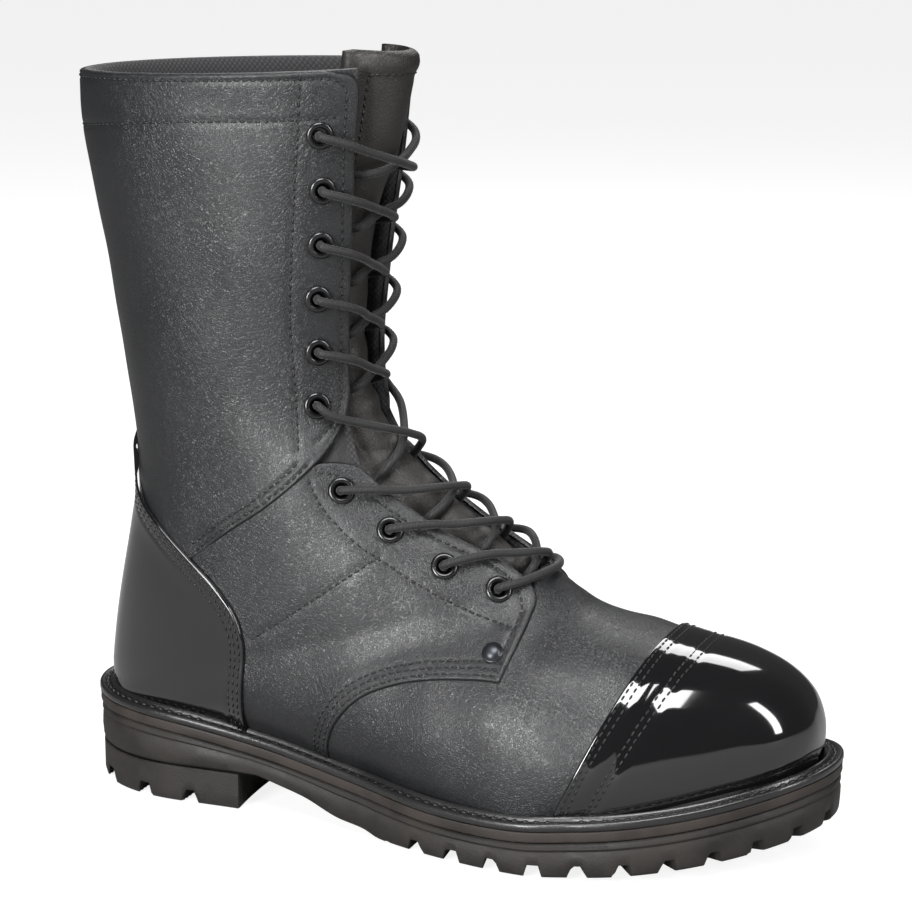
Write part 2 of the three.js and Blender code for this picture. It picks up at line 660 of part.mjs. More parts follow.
// Comes up through eyelet i, runs over the tongue and dives under the other facing.
function strand(i, side, lift) {
  const from = spotsST[i].s;
  const to = spotsST[i + 1].s;
  const at = (share, y, depth) => across(from + (to - from) * share, y, depth);
  const middle = (from + to) / 2;
  const gap = table(FACING_HALF_GAP, middle);
  const top = tongueDepth(middle, 0) - LACE_RADIUS - 1.6 - lift;
  return [
    axisPoint(i, side, 6.8),
    axisPoint(i, side, 1.6),
    axisPoint(i, side, -3),
    at(0.12, side * (gap + 4), -4.2),
    at(0.26, side * (gap - 2), -2.9),
    at(0.44, side * gap * 0.45, Math.min(top, -0.5)),
    at(0.58, 0, top),
    at(0.71, -side * gap * 0.42, top + 1),
    at(0.79, -side * gap * 0.68, 3.6),
    at(0.86, -side * (gap - 2), UNDER_FACING - 0.3),
    at(0.93, -side * (gap + 3), UNDER_FACING + 0.4),
  ];
}
const count = eyeletSpots.length;
function run(startSide) {
  const points = [];
  let side = startSide;
  for (let i = 0; i < count - 1; i += 1) {
    points.push(...strand(i, side, side < 0 ? LACE_DIAMETER + 0.5 : 0));
    side = -side;
  }
  for (const depth of [6.8, 1.6, -3]) points.push(axisPoint(count - 1, side, depth));
  points.push(across(spotsST[count - 1].s + 0.1, side * 17, -3.9));
  return points;
}
// The free end goes back from the top eyelet and hangs down inside the shaft.
function tail(side, reach) {
  const { s, t } = spotsST[0];
  const points = [
    inside(s, t, side, UNDER_FACING),
    inside(s + 0.02, t + 0.05, side, 7.6),
    inside(s + 0.15, t + 0.12, side, 9.5),
    inside(s + 0.5, t + 0.17, side, 10),
  ];
  for (let k = 1; k <= 8; k += 1) points.push(inside(s + 0.5 + (reach * k) / 8, t + 0.19, side, 9.5));
  return points;
}
function laceCurve(reach) {
  const down = [...tail(-1, reach).reverse(), ...run(-1)];
  const up = [...tail(1, reach).reverse(), ...run(1)].reverse();
  const bottom = spotsST[count - 1].s + 0.2;
  const middle = across(bottom, 0.001, Math.min(tongueDepth(bottom, 0) - LACE_RADIUS - 0.4, -3.4));
  const curve = new THREE.CatmullRomCurve3([...down, middle, ...up], false, "centripetal");
  curve.arcLengthDivisions = 1500;
  return curve;
}
let reach = 2;
for (let k = 0; k < 12; k += 1) {
  const missing = LACE_LENGTH - laceCurve(reach).getLength();
  reach = Math.min(Math.max(reach + missing / 2 / 27, 0.6), 7);
}
const lacePath = laceCurve(reach);

// A tube with one ring at each point, each ring square to the bend and carried on without twist.
function tube(points, radius, sides) {
  const rings = [];
  let across0 = new THREE.Vector3(0, 0, 1);
  points.forEach((point, i) => {
    const before = points[Math.max(i - 1, 0)];
    const after = points[Math.min(i + 1, points.length - 1)];
    const inward = point.clone().sub(before).normalize();
    const outward = after.clone().sub(point).normalize();
    const tangent = inward.clone().add(outward).normalize();
    across0 = across0.clone().addScaledVector(tangent, -across0.dot(tangent)).normalize();
    const other = tangent.clone().cross(across0);
    const ring = [];
    for (let k = 0; k < sides; k += 1) {
      const a = (2 * Math.PI * k) / sides;
      const offset = across0.clone().multiplyScalar(radius * Math.cos(a));
      ring.push(point.clone().add(offset.addScaledVector(other, radius * Math.sin(a))));
    }
    rings.push(ring);
  });
  const positions = rings.flat();
  const triangles = [];
  for (let i = 0; i < rings.length - 1; i += 1) {
    for (let k = 0; k < sides; k += 1) {
      const [a, b] = [i * sides + k, i * sides + ((k + 1) % sides)];
      triangles.push([a, b, b + sides], [a, b + sides, a + sides]);
    }
  }
  const end = (rings.length - 1) * sides;
  for (let k = 1; k < sides - 1; k += 1) triangles.push([0, k + 1, k], [end, end + k, end + k + 1]);
  return solid(positions, triangles);
}
add("lace", tube(lacePath.points, LACE_RADIUS, LACE_SIDES), 0x101010);

const AGLET_LENGTH = 20;
for (const [label, u] of [["lateral", 0], ["medial", 1]]) {
  const end = lacePath.getPointAt(u);
  const back = lacePath.getPointAt(u === 0 ? AGLET_LENGTH / LACE_LENGTH : 1 - AGLET_LENGTH / LACE_LENGTH);
  const sleeveProfile = [[2.2, 0], [2.5, 0], [2.5, AGLET_LENGTH], [2.2, AGLET_LENGTH], [2.2, 0]];
  const sleeve = new THREE.LatheGeometry(sleeveProfile.map(([r, y]) => new THREE.Vector2(r, y)), 10);
  const normal = back.clone().sub(end).normalize();
  add(`aglet_${label}`, fromGeometry(turned(sleeve, { point: end, normal })), 0x111111);
}
export default group;
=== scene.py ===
# %% [markdown]
# # A right lace-up duty boot
#
# The boot is ten inches tall, made of smooth black leather over a stitched welt and a lugged rubber sole.
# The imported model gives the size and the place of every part; this file gives them their looks.
# A boot is made over a last, a solid form of the foot and leg. Every leather panel is a thick patch of that
# one form, so the last is described once, as a surface, and each panel is a piece cut from it by its seams.

# %% Load the frame
import math
import bpy
import bmesh
import numpy as np
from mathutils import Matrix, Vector
from mathutils.bvhtree import BVHTree


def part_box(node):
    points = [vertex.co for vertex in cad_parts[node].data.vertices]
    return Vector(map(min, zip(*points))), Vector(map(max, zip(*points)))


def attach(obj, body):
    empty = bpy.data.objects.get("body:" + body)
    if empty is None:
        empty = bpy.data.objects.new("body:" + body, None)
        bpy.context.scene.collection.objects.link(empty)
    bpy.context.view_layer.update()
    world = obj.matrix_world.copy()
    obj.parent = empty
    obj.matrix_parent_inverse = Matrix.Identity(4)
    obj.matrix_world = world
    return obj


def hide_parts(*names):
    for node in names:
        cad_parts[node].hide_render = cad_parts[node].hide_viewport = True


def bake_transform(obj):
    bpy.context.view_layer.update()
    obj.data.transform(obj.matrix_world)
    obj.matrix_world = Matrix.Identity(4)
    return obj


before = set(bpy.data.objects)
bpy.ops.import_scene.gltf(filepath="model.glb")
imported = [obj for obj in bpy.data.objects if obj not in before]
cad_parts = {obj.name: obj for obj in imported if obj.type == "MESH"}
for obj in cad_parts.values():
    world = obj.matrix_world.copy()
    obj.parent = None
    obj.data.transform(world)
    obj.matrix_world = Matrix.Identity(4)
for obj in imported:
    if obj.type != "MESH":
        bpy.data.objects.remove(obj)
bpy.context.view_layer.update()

# %% [markdown]
# ## Pattern millimetres
#
# A pattern maker measures from the back of the heel, in millimetres. The frame is in metres, with its origin
# under the middle of the boot. One function takes a pattern point to the frame, so every size below can be a
# plain shop size.

# %% Pattern units
MM = 0.001
sole_low, sole_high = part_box("welt")
SOLE_LENGTH = (sole_high[0] - sole_low[0]) / MM
PATTERN_MIDDLE = -3.35
CENTRE = np.array([SOLE_LENGTH / 2, PATTERN_MIDDLE, 0.0])


def place(points):
    return (np.asarray(points, float) - CENTRE) * MM


print("sole length", round(SOLE_LENGTH, 1), "mm")

# %% [markdown]
# ## The camera
#
# The boot is seen from its outer side and a little from the front and above, through a long lens, as in a
# shop's catalogue. A long lens keeps the toe from growing. The camera is set by where it aims, the way it
# looks and how far away it is, which is easier to correct than three rotation angles.

# %% Place the camera
AIM = Vector((0.0027, 0.0, 0.1448))
AZIMUTH = math.radians(22.56)
ELEVATION = math.radians(13.49)
CAMERA_DISTANCE = 1.0154
LENS_LENGTH = 104.0

camera = bpy.data.objects.new("camera", bpy.data.cameras.new("camera"))
bpy.context.scene.collection.objects.link(camera)
away = Vector((
    math.sin(AZIMUTH) * math.cos(ELEVATION),
    -math.cos(AZIMUTH) * math.cos(ELEVATION),
    math.sin(ELEVATION),
))
camera.location = AIM + away * CAMERA_DISTANCE
camera.rotation_euler = (math.pi / 2 - ELEVATION, 0, AZIMUTH)
camera.data.lens = LENS_LENGTH
camera.data.sensor_width = 36.0
camera.data.clip_start = 0.05
bpy.context.scene.camera = camera
print("camera at", [round(value, 3) for value in camera.location])

# %% [markdown]
# ## Tables of shop sizes
#
# A pattern gives a width or a height at a few stations, and a bent batten joins them. The same is done here
# with a cubic curve through the stations, for whole arrays at once, because a panel has thousands of points.

# %% Read a curve through stations
def table(stations, x):
    xs, ys = np.array(stations, float).T
    slope = np.empty_like(ys)
    slope[0] = (ys[1] - ys[0]) / (xs[1] - xs[0])
    slope[-1] = (ys[-1] - ys[-2]) / (xs[-1] - xs[-2])
    slope[1:-1] = (ys[2:] - ys[:-2]) / (xs[2:] - xs[:-2])
    x = np.clip(np.asarray(x, float), xs[0], xs[-1])
    i = np.clip(np.searchsorted(xs, x, side="right") - 1, 0, len(xs) - 2)
    width = xs[i + 1] - xs[i]
    u = (x - xs[i]) / width
    ease = u * u * (3 - 2 * u)
    bend = u * (1 - u) * ((1 - u) * slope[i] - u * slope[i + 1]) * width
    return ys[i] * (1 - ease) + ys[i + 1] * ease + bend


WELT_TOP = [[0, 39.3], [43, 37.4], [87, 31.4], [130, 24.6], [170, 21], [217, 22.2], [263, 28.4], [310, 39.2]]
SOLE_MIDDLE = [
    [0, 0], [90, -0.6], [130, -3], [170, -5.5], [205, -4.5], [236, -1], [266, 4], [290, 7.5], [310, 9],
]
RIDGE_MIDDLE = [[0, 0], [110, 0], [150, 1], [200, 0.5], [240, 2.5], [270, 6], [310, 9]]
HALF_WIDTHS = [[50, 38.6], [87, 37.6], [130, 40.6], [170, 49.3], [205, 54.8], [225, 53.4]]
HEEL_ROUND, TOE_ROUND = 50, 225


def welt_top(x):
    return table(WELT_TOP, x)


def half_width(x, inset):
    x = np.asarray(x, float)
    heel = np.clip((HEEL_ROUND - x) / (HEEL_ROUND - inset), 0, 1)
    toe = np.clip((x - TOE_ROUND) / (SOLE_LENGTH - inset - TOE_ROUND), 0, 1)
    middle = table(HALF_WIDTHS, x) - inset
    at_heel = (HALF_WIDTHS[0][1] - inset) * np.sqrt(1 - heel ** 2.2)
    at_toe = (HALF_WIDTHS[-1][1] - inset) * np.sqrt(1 - toe ** 2.1)
    return np.where(x <= HEEL_ROUND, at_heel, np.where(x >= TOE_ROUND, at_toe, middle))


print("widest at the ball", round(2 * float(half_width(205, 0)), 1), "mm")

# %% [markdown]
# ## The last
#
# The last is a row of closed sections, from the rim of the shaft (0) to the tip of the toe (23). Each one has
# a front point, a rear point, a half width and a roundness for its front and its back. Sculpting it by hand
# would look as good, but then no seam could be drawn on it by its shop sizes. Here s picks the section and t
# goes round it: 0 on the ridge, 1 at the rear line or the feather line, and negative on the outer side.

# %% Describe the last
FEATHER = -1
SECTIONS = [
    [137, 294, 0.4, 289, 44.5, 0.8, 0.92],
    [133, 262, 2, 262, 43.5, 0.8, 0.92],
    [128, 235, 7, 236, 42.0, 0.8, 0.92],
    [124, 208, 12, 210, 40.5, 0.8, 0.92],
    [122, 184, 16, 180, 38.5, 0.8, 0.9],
    [125, 163, 20, 155, 37.5, 0.84, 0.88],
    [137, 145, 22, 130, 37.5, 0.88, 0.84],
    [154, 129, 18, 106, 38.0, 0.9, 0.8],
    [172, 117, 12, 76, 39.0, 0.9, 0.76],
    [188, 108, 8, 48, 39.5, 0.9, 0.74],
    [197, 101, 8, FEATHER, 39.5, 0.9, 0.74],
    [200.5, 98.6, 17, FEATHER, 40.0, 0.9, 0.76],
    [203.5, 96.5, 36, FEATHER, 40.7, 0.9, 0.78],
    [207, 94, 62, FEATHER, 41.5, 0.9, 0.8],
    [214, 89.5, 105, FEATHER, 44.5, 0.9, 0.85],
    [224, 86, 150, FEATHER, 48.5, 0.88, 0.9],
    [234, 84, 195, FEATHER, 50.0, 0.84, 0.9],
    [243, 81.5, 216, FEATHER, 49.5, 0.8, 0.9],
    [256, 79, 238, FEATHER, 46.5, 0.76, 0.9],
    [272, 75.5, 258, FEATHER, 41.0, 0.74, 0.9],
    [286, 70, 274, FEATHER, 34.0, 0.74, 0.9],
    [296, 62, 287, FEATHER, 26.0, 0.76, 0.9],
    [301, 52, 296, FEATHER, 16.0, 0.8, 0.9],
    [302, 42, 301.4, FEATHER, 4.5, 0.9, 0.9],
]
WELT_WIDTH = 6.5
FEATHER_GAP = 0.3
LAST_KEY = len(SECTIONS) - 1
CAP_KEY = 17
HEEL_KEY = 9
KEYS = np.array(SECTIONS, float)
on_feather = KEYS[:, 3] == FEATHER
KEYS[on_feather, 3] = welt_top(KEYS[on_feather, 2]) + FEATHER_GAP


def section(s):
    s = np.asarray(s, float)
    inside_range = np.clip(s, 0, LAST_KEY)
    i = np.minimum(inside_range.astype(int), LAST_KEY - 1)
    u = (inside_range - i)[..., None]
    before, here = KEYS[np.maximum(i - 1, 0)], KEYS[i]
    after, beyond = KEYS[i + 1], KEYS[np.minimum(i + 2, LAST_KEY)]
    ease = u * u * (3 - 2 * u)
    bend = u * (1 - u) * ((1 - u) * (after - before) / 2 - u * (beyond - here) / 2)
    mixed = here * (1 - ease) + after * ease + bend
    mixed = mixed + (KEYS[0] - KEYS[1]) * np.maximum(-s, 0)[..., None]
    rear_x = np.where((s > HEEL_KEY) & (s < HEEL_KEY + 1), KEYS[HEEL_KEY, 2], mixed[..., 2])
    rear_z = np.where(s > HEEL_KEY + 1, welt_top(rear_x) + FEATHER_GAP, mixed[..., 3])
    return [mixed[..., 0], mixed[..., 1], rear_x, rear_z, mixed[..., 4], mixed[..., 5], mixed[..., 6]]


def end_angle(s, parts):
    foot = np.where(np.asarray(s) > HEEL_KEY + 1, half_width(parts[2], WELT_WIDTH), 0)
    ratio = np.clip(foot / parts[4], 0, 0.98)
    return math.pi - np.arcsin(ratio ** (1 / parts[6]))


def last_point(s, t):
    s, t = np.broadcast_arrays(np.asarray(s, float), np.asarray(t, float))
    closed = s <= HEEL_KEY + 1
    t = np.where(closed & (t > 1), t - 2, np.where(closed & (t < -1), t + 2, np.clip(t, -2, 2)))
    side = np.where(t < 0, -1.0, 1.0)
    parts = section(s)
    front_x, front_z, rear_x, rear_z, width, front, rear = parts
    end = end_angle(s, parts)
    angle = np.minimum(np.abs(t), 1) * end
    roundness = np.where(angle < math.pi / 2, front, rear)
    across = width * np.abs(np.sin(angle)) ** roundness
    share = (1 - np.cos(angle)) / (1 - np.cos(end))
    x = front_x + (rear_x - front_x) * share
    z = front_z + (rear_z - front_z) * share
    middle = table(RIDGE_MIDDLE, x) * (1 - share) + table(SOLE_MIDDLE, x) * share
    return np.stack([x, middle + side * across, z], -1)


def last_normal(s, t):
    step = 0.02
    s, t = np.broadcast_arrays(np.asarray(s, float), np.asarray(t, float))
    edge = np.where(s <= HEEL_KEY + 1, 2.0, 1.0)
    along = last_point(np.minimum(s + step, LAST_KEY), t) - last_point(s - step, t)
    around = last_point(s, np.minimum(t + step, edge)) - last_point(s, np.maximum(t - step, -edge))
    normal = np.cross(along, around)
    return normal / np.maximum(np.linalg.norm(normal, axis=-1, keepdims=True), 1e-9)


def at_depth(s, t, depth):
    depth = np.asarray(depth, float)[..., None]
    return last_point(s, t) - last_normal(s, t) * depth


print("ridge at the ankle bend", np.round(last_point(6, 0), 1))

# %% [markdown]
# ## Finding a place on the last
#
# Seams are drawn in the side view, as a pattern maker sees the last from its side. Each section is a straight
# line there, from its front point to its rear point, so the section through a point is found by looking for
# the line that passes it. Near the ridge a distance from the middle plane is a better measure.

# %% Find s and t
SIDE_VIEW_KEYS = np.linspace(0, CAP_KEY + 0.5, 420)


def line_gap(s, x, z):
    front_x, front_z, rear_x, rear_z = section(s)[:4]
    run, rise = rear_x - front_x, rear_z - front_z
    return ((x - front_x) * rise - (z - front_z) * run) / np.hypot(run, rise)


def locate(x, z):
    """s and t (0 to 1) of the points that show at x, z in the side view."""
    x, z = np.broadcast_arrays(np.asarray(x, float), np.asarray(z, float))
    shape = x.shape
    x, z = x.ravel(), z.ravel()
    s = np.empty_like(x)
    for start in range(0, len(x), 3000):
        part = slice(start, start + 3000)
        gaps = line_gap(SIDE_VIEW_KEYS[None, :], x[part, None], z[part, None])
        s[part] = SIDE_VIEW_KEYS[np.argmin(np.abs(gaps), axis=1)]
    spread = SIDE_VIEW_KEYS[1] - SIDE_VIEW_KEYS[0]
    low, high = s - spread, np.minimum(s + spread, CAP_KEY + 0.6)
    low = np.maximum(low, 0)
    gap_low, gap_high = line_gap(low, x, z), line_gap(high, x, z)
    crossed = gap_low * gap_high < 0
    for _ in range(14):
        middle = (low + high) / 2
        gap = line_gap(middle, x, z)
        same = gap * gap_low > 0
        low = np.where(same, middle, low)
        gap_low = np.where(same, gap, gap_low)
        high = np.where(same, high, middle)
    s = np.where(crossed, (low + high) / 2, s)
    parts = section(s)
    run, rise = parts[2] - parts[0], parts[3] - parts[1]
    share = np.clip(((x - parts[0]) * run + (z - parts[1]) * rise) / (run ** 2 + rise ** 2), 0, 1)
    end = end_angle(s, parts)
    t = np.arccos(np.clip(1 - share * (1 - np.cos(end)), -1, 1)) / end
    return s.reshape(shape), np.clip(t, 0, 1).reshape(shape)


def turn_for(s, y):
    """t of the points of sections s at a distance y from the ridge's middle line."""
    parts = section(s)
    angle = np.arcsin(np.clip(np.abs(y) / parts[4], 0, 0.98) ** (1 / parts[5]))
    return np.sign(y) * angle / end_angle(s, parts)


def across(s, y, depth):
    return at_depth(s, turn_for(s, y), depth)


def side_view(s, t):
    return last_point(s, t)[..., [0, 2]]


FACING_HALF_GAP = [
    [0, 24.8], [1, 23.4], [1.65, 21.4], [2.4, 19.2], [3.1, 17.3], [3.9, 16], [4.7, 16.6],
    [5.4, 20], [6.3, 23.4], [7.2, 20.4], [7.8, 18.3], [8.45, 14.8], [9.2, 13.2], [12, 12.8],
]


def facing_turn(s):
    return turn_for(s, table(FACING_HALF_GAP, s))


print("facing edge at the rim", np.round(last_point(0, -facing_turn(0)), 1))

# %% [markdown]
# ## Where the lace goes
#
# The lace is one round cord 1.83 m long. It crosses over the bottom of the tongue, comes up through each
# eyelet and dives under the other facing, and its two ends are tucked down inside the shaft. Its route is a
# list of points for one crossing, worked out from the eyelets and repeated up both sides, with a smooth curve
# through them. It is the same route as the one the solid parts leave room for.

# %% Lay out the eyelets and the lace's route
UPPER_PITCH = 20.8
UPPER_LEAN = [0, -0.2, -2, -4, -4.8, -5.2]
EYELETS = [[115.4 + lean, 269.5 - UPPER_PITCH * i] for i, lean in enumerate(UPPER_LEAN)]
EYELETS += [[121.5, 133.8], [140.5, 119.5], [162, 106.8], [182.5, 98.8]]
EYELET_S, EYELET_T = locate(*np.array(EYELETS, float).T)
LACE_DIAMETER = 3.2
LACE_RADIUS = LACE_DIAMETER / 2
LACE_LENGTH = 1830
UNDER_FACING = 8.1
EDGE_DEPTH = 10.2
TONGUE_THICK = 2.8
CROWN = [
    [0, -1], [0.9, 1.5], [1.5, 5], [2.3, 7], [3.2, 6.5], [4, 5],
    [5, 3.6], [6, 3], [8, 3], [9.2, 3.5], [10.8, 4.6],
]
CROWN_REACH = [
    [0, 22], [1.65, 18], [2.4, 16], [3.1, 14.2], [3.9, 13], [4.7, 13.4],
    [5.4, 16], [6.3, 18], [7.2, 15], [8, 12.5], [9.2, 10.8], [12, 10.5],
]


def tongue_depth(s, y):
    crown = np.maximum(1 - (np.asarray(y) / table(CROWN_REACH, s)) ** 2, 0)
    return EDGE_DEPTH - (EDGE_DEPTH - table(CROWN, s)) * crown


def through_eyelet(i, side, depths):
    return [at_depth(EYELET_S[i], side * EYELET_T[i], depth) for depth in depths]


def strand(i, side):
    """One crossing: up through eyelet i, over the tongue and under the other facing."""
    first, second = EYELET_S[i], EYELET_S[i + 1]
    middle = (first + second) / 2
    gap = float(table(FACING_HALF_GAP, middle))
    lift = LACE_DIAMETER + 0.5 if side < 0 else 0
    top = float(tongue_depth(middle, 0)) - LACE_RADIUS - 1.6 - lift
    stations = [
        (0.12, side * (gap + 4), -4.2),
        (0.26, side * (gap - 2), -2.9),
        (0.44, side * gap * 0.45, min(top, -0.5)),
        (0.58, 0.001, top),
        (0.71, -side * gap * 0.42, top + 1),
        (0.79, -side * gap * 0.68, 3.6),
        (0.86, -side * (gap - 2), UNDER_FACING - 0.3),
        (0.93, -side * (gap + 3), UNDER_FACING + 0.4),
    ]
    over = [across(first + (second - first) * share, y, depth) for share, y, depth in stations]
    return through_eyelet(i, side, [6.8, 1.6, -3]) + over


def lace_run(side):
    points = []
    for i in range(len(EYELETS) - 1):
        points += strand(i, side)
        side = -side
    bottom = len(EYELETS) - 1
    points += through_eyelet(bottom, side, [6.8, 1.6, -3])
    return points + [across(EYELET_S[bottom] + 0.1, side * 17, -3.9)]


def lace_tail(side, reach):
    s, t = EYELET_S[0], EYELET_T[0]
    stations = [
        (s, t, UNDER_FACING), (s + 0.02, t + 0.05, 7.6), (s + 0.15, t + 0.12, 9.5), (s + 0.5, t + 0.17, 10),
    ]
    stations += [(s + 0.5 + reach * k / 8, t + 0.19, 9.5) for k in range(1, 9)]
    return [at_depth(a, side * b, depth) for a, b, depth in stations]


def smooth_line(points, per_step=12):
    """A centripetal Catmull-Rom curve through the points."""
    points = np.array(points, float)
    ghost = np.vstack([2 * points[0] - points[1], points, 2 * points[-1] - points[-2]])
    made = []
    for k in range(1, len(ghost) - 2):
        p0, p1, p2, p3 = ghost[k - 1:k + 3]
        d0, d1, d2 = [max(np.linalg.norm(b - a), 1e-6) ** 0.5 for a, b in ((p0, p1), (p1, p2), (p2, p3))]
        m1 = ((p1 - p0) / d0 - (p2 - p0) / (d0 + d1) + (p2 - p1) / d1) * d1
        m2 = ((p2 - p1) / d1 - (p3 - p1) / (d1 + d2) + (p3 - p2) / d2) * d1
        u = np.linspace(0, 1, per_step, endpoint=False)[:, None]
        made.append(
            (2 * u ** 3 - 3 * u ** 2 + 1) * p1 + (u ** 3 - 2 * u ** 2 + u) * m1
            + (3 * u ** 2 - 2 * u ** 3) * p2 + (u ** 3 - u ** 2) * m2
        )
    return np.vstack(made + [points[-1:]])


def line_length(line):
    return float(np.linalg.norm(np.diff(line, axis=0), axis=1).sum())


def even_steps(line, count):
    """The same line with its points spread evenly along it."""
    line = np.asarray(line, float)
    walked = np.concatenate([[0], np.cumsum(np.linalg.norm(np.diff(line, axis=0), axis=1))])
    stops = np.linspace(0, walked[-1], count)
    return np.stack([np.interp(stops, walked, line[:, k]) for k in range(line.shape[1])], -1)


def lace_route(reach):
    down = lace_tail(-1, reach)[::-1] + lace_run(-1)
    up = (lace_tail(1, reach)[::-1] + lace_run(1))[::-1]
    bottom = EYELET_S[-1] + 0.2
    middle = [across(bottom, 0.001, min(float(tongue_depth(bottom, 0)) - LACE_RADIUS - 0.4, -3.4))]
    return smooth_line(down + middle + up)


tail_reach = 4.3
for _ in range(4):
    tail_reach += (LACE_LENGTH - line_length(lace_route(tail_reach))) / 2 / 27
lace_line = lace_route(tail_reach)
print("lace", round(line_length(lace_line)), "mm, its tails reach", round(tail_reach, 2), "sections down")

# %% [markdown]
# ## Mesh helpers
#
# Most pieces here are made from numbers rather than by hand, so three small helpers make the meshes: one for
# any list of points and faces, one for a tube along a line, and one for a profile turned round an axis.

# %% Make meshes
def new_piece(name, points, faces, sharp=35, recalculate=True):
    mesh = bpy.data.meshes.new(name)
    mesh.from_pydata(place(points).tolist(), [], [tuple(int(i) for i in face) for face in faces])
    if recalculate:
        shell = bmesh.new()
        shell.from_mesh(mesh)
        bmesh.ops.recalc_face_normals(shell, faces=shell.faces)
        shell.to_mesh(mesh)
        shell.free()
    mesh.shade_smooth()
    mesh.set_sharp_from_angle(angle=math.radians(sharp))
    piece = bpy.data.objects.new(name, mesh)
    bpy.context.scene.collection.objects.link(piece)
    return piece


def grid_faces(rows, columns, start=0, wrap=False):
    """Quads of a grid of rows x columns points; wrap joins the last column to the first."""
    row, column = np.meshgrid(np.arange(rows - 1), np.arange(columns if wrap else columns - 1), indexing="ij")
    following = (column + 1) % columns
    corners = [row * columns + column, row * columns + following]
    corners += [(row + 1) * columns + following, (row + 1) * columns + column]
    return (np.stack([corner.ravel() for corner in corners], -1) + start).tolist()


def line_frames(line):
    """A tangent and two cross directions at each point, carried along without twist."""
    tangents = np.gradient(line, axis=0)
    tangents /= np.linalg.norm(tangents, axis=1, keepdims=True)
    sideways = np.cross(tangents[0], [0.3, 0.1, 0.9])
    firsts = np.empty_like(line)
    for k, tangent in enumerate(tangents):
        sideways = sideways - tangent * sideways.dot(tangent)
        sideways = sideways / np.linalg.norm(sideways)
        firsts[k] = sideways
    return tangents, firsts, np.cross(tangents, firsts)


def tube_points(line, radii, sides):
    """Rings of a tube; radii is one number, or one for each point and side."""
    _, first, second = line_frames(line)
    turn = np.arange(sides) * 2 * math.pi / sides
    radii = np.broadcast_to(radii, (len(line), sides))[..., None]
    ring = first[:, None] * np.cos(turn)[None, :, None] + second[:, None] * np.sin(turn)[None, :, None]
    return line[:, None] + ring * radii


def make_tube(name, line, radii, sides, **options):
    points = tube_points(line, radii, sides).reshape(-1, 3)
    last_ring = (len(line) - 1) * sides
    faces = grid_faces(len(line), sides, wrap=True)
    faces += [list(range(sides))[::-1], list(range(last_ring, last_ring + sides))]
    return new_piece(name, points, faces, **options)


def turned_points(profile, centre, axis, segments):
    """A profile of (radius, height) turned round an axis through a centre."""
    axis = np.asarray(axis, float)
    first = np.cross(axis, [0.2, 0.1, 1.0])
    first /= np.linalg.norm(first)
    second = np.cross(axis, first)
    turn = np.arange(segments) * 2 * math.pi / segments
    spokes = first[None] * np.cos(turn)[:, None] + second[None] * np.sin(turn)[:, None]
    radius, height = np.array(profile, float).T
    points = centre + axis * height[:, None, None] + spokes[None] * radius[:, None, None]
    return points.reshape(-1, 3)


# %% [markdown]
# ## The braided lace
#
# A boot lace is braided from carriers of thread that cross over and under each other round a core. A plain
# tube with a printed weave looks flat in a close view, so the tube's skin rises and falls with two sets of
# strands that wind round it in opposite directions.

# %% Braid the lace
BRAID_SIDES = 16
BRAID_STEP = 0.5
BRAID_PITCH = 8.0
BRAID_CARRIERS = 4
BRAID_RELIEF = 0.16


def braid_radius(length, count, sides, radius):
    along = np.linspace(0, length, count)[:, None]
    turn = (np.arange(sides) * 2 * math.pi / sides)[None, :]
    phase = 2 * math.pi * along / BRAID_PITCH
    right = np.cos(BRAID_CARRIERS * (turn - phase))
    left = np.cos(BRAID_CARRIERS * (turn + phase))
    return radius - BRAID_RELIEF * 0.5 + BRAID_RELIEF * np.maximum(right, left)


lace_count = int(LACE_LENGTH / BRAID_STEP)
lace_even = even_steps(lace_line, lace_count)
lace_radii = braid_radius(LACE_LENGTH, lace_count, BRAID_SIDES, LACE_RADIUS)
lace = make_tube("boot_lace", lace_even, lace_radii, BRAID_SIDES, sharp=180, recalculate=False)
print("lace faces", len(lace.data.polygons))

# %% [markdown]
# The tips of the lace are clear-coated sleeves, rolled tight round the braid with two crimps. They hang
# inside the shaft, where a hand finds them.

# %% Tip the lace
AGLET_LENGTH = 20
AGLET_PROFILE = [
    (0.0, -0.4), (1.5, -0.4), (2.1, 0.4), (2.3, 1.2), (2.3, 5.6), (2.12, 6.2), (2.3, 6.8), (2.3, 13.2),
    (2.12, 13.8), (2.3, 14.4), (2.3, 18.8), (2.15, 19.6), (1.7, 20.0),
]
aglets = {}
for label, tip, back in (("lateral", 0, AGLET_LENGTH), ("medial", -1, LACE_LENGTH - AGLET_LENGTH)):
    centre = lace_even[tip]
    inner = lace_even[int(back / BRAID_STEP)] if tip == 0 else lace_even[-int(AGLET_LENGTH / BRAID_STEP)]
    axis = (inner - centre) / np.linalg.norm(inner - centre)
    points = turned_points(AGLET_PROFILE, centre, axis, 24)
    aglets[label] = new_piece(f"lace_tip_{label}", points, grid_faces(len(AGLET_PROFILE), 24, wrap=True))
print("lace tips", list(aglets))

# %% [markdown]
# ## Leather panels
#
# A panel is cut flat, skived thin at its edges, folded or burnished there, and stitched down over its
# neighbour. Each one is made as a patch between four drawn edges, blended like a sheet stretched in a frame,
# with a face, a back and a rolled edge. The grid is finer near the edges, where the roll is.

# %% Stretch a panel between four edges
def along_line(line, shares):
    line = np.asarray(line, float)
    walked = np.concatenate([[0], np.cumsum(np.linalg.norm(np.diff(line, axis=0), axis=1))])
    return np.stack([np.interp(np.asarray(shares) * walked[-1], walked, line[:, k]) for k in range(2)], -1)


def rounded(line, per_step=10):
    """A smooth line through a few drawn points."""
    return smooth_line(np.array(line, float), per_step)


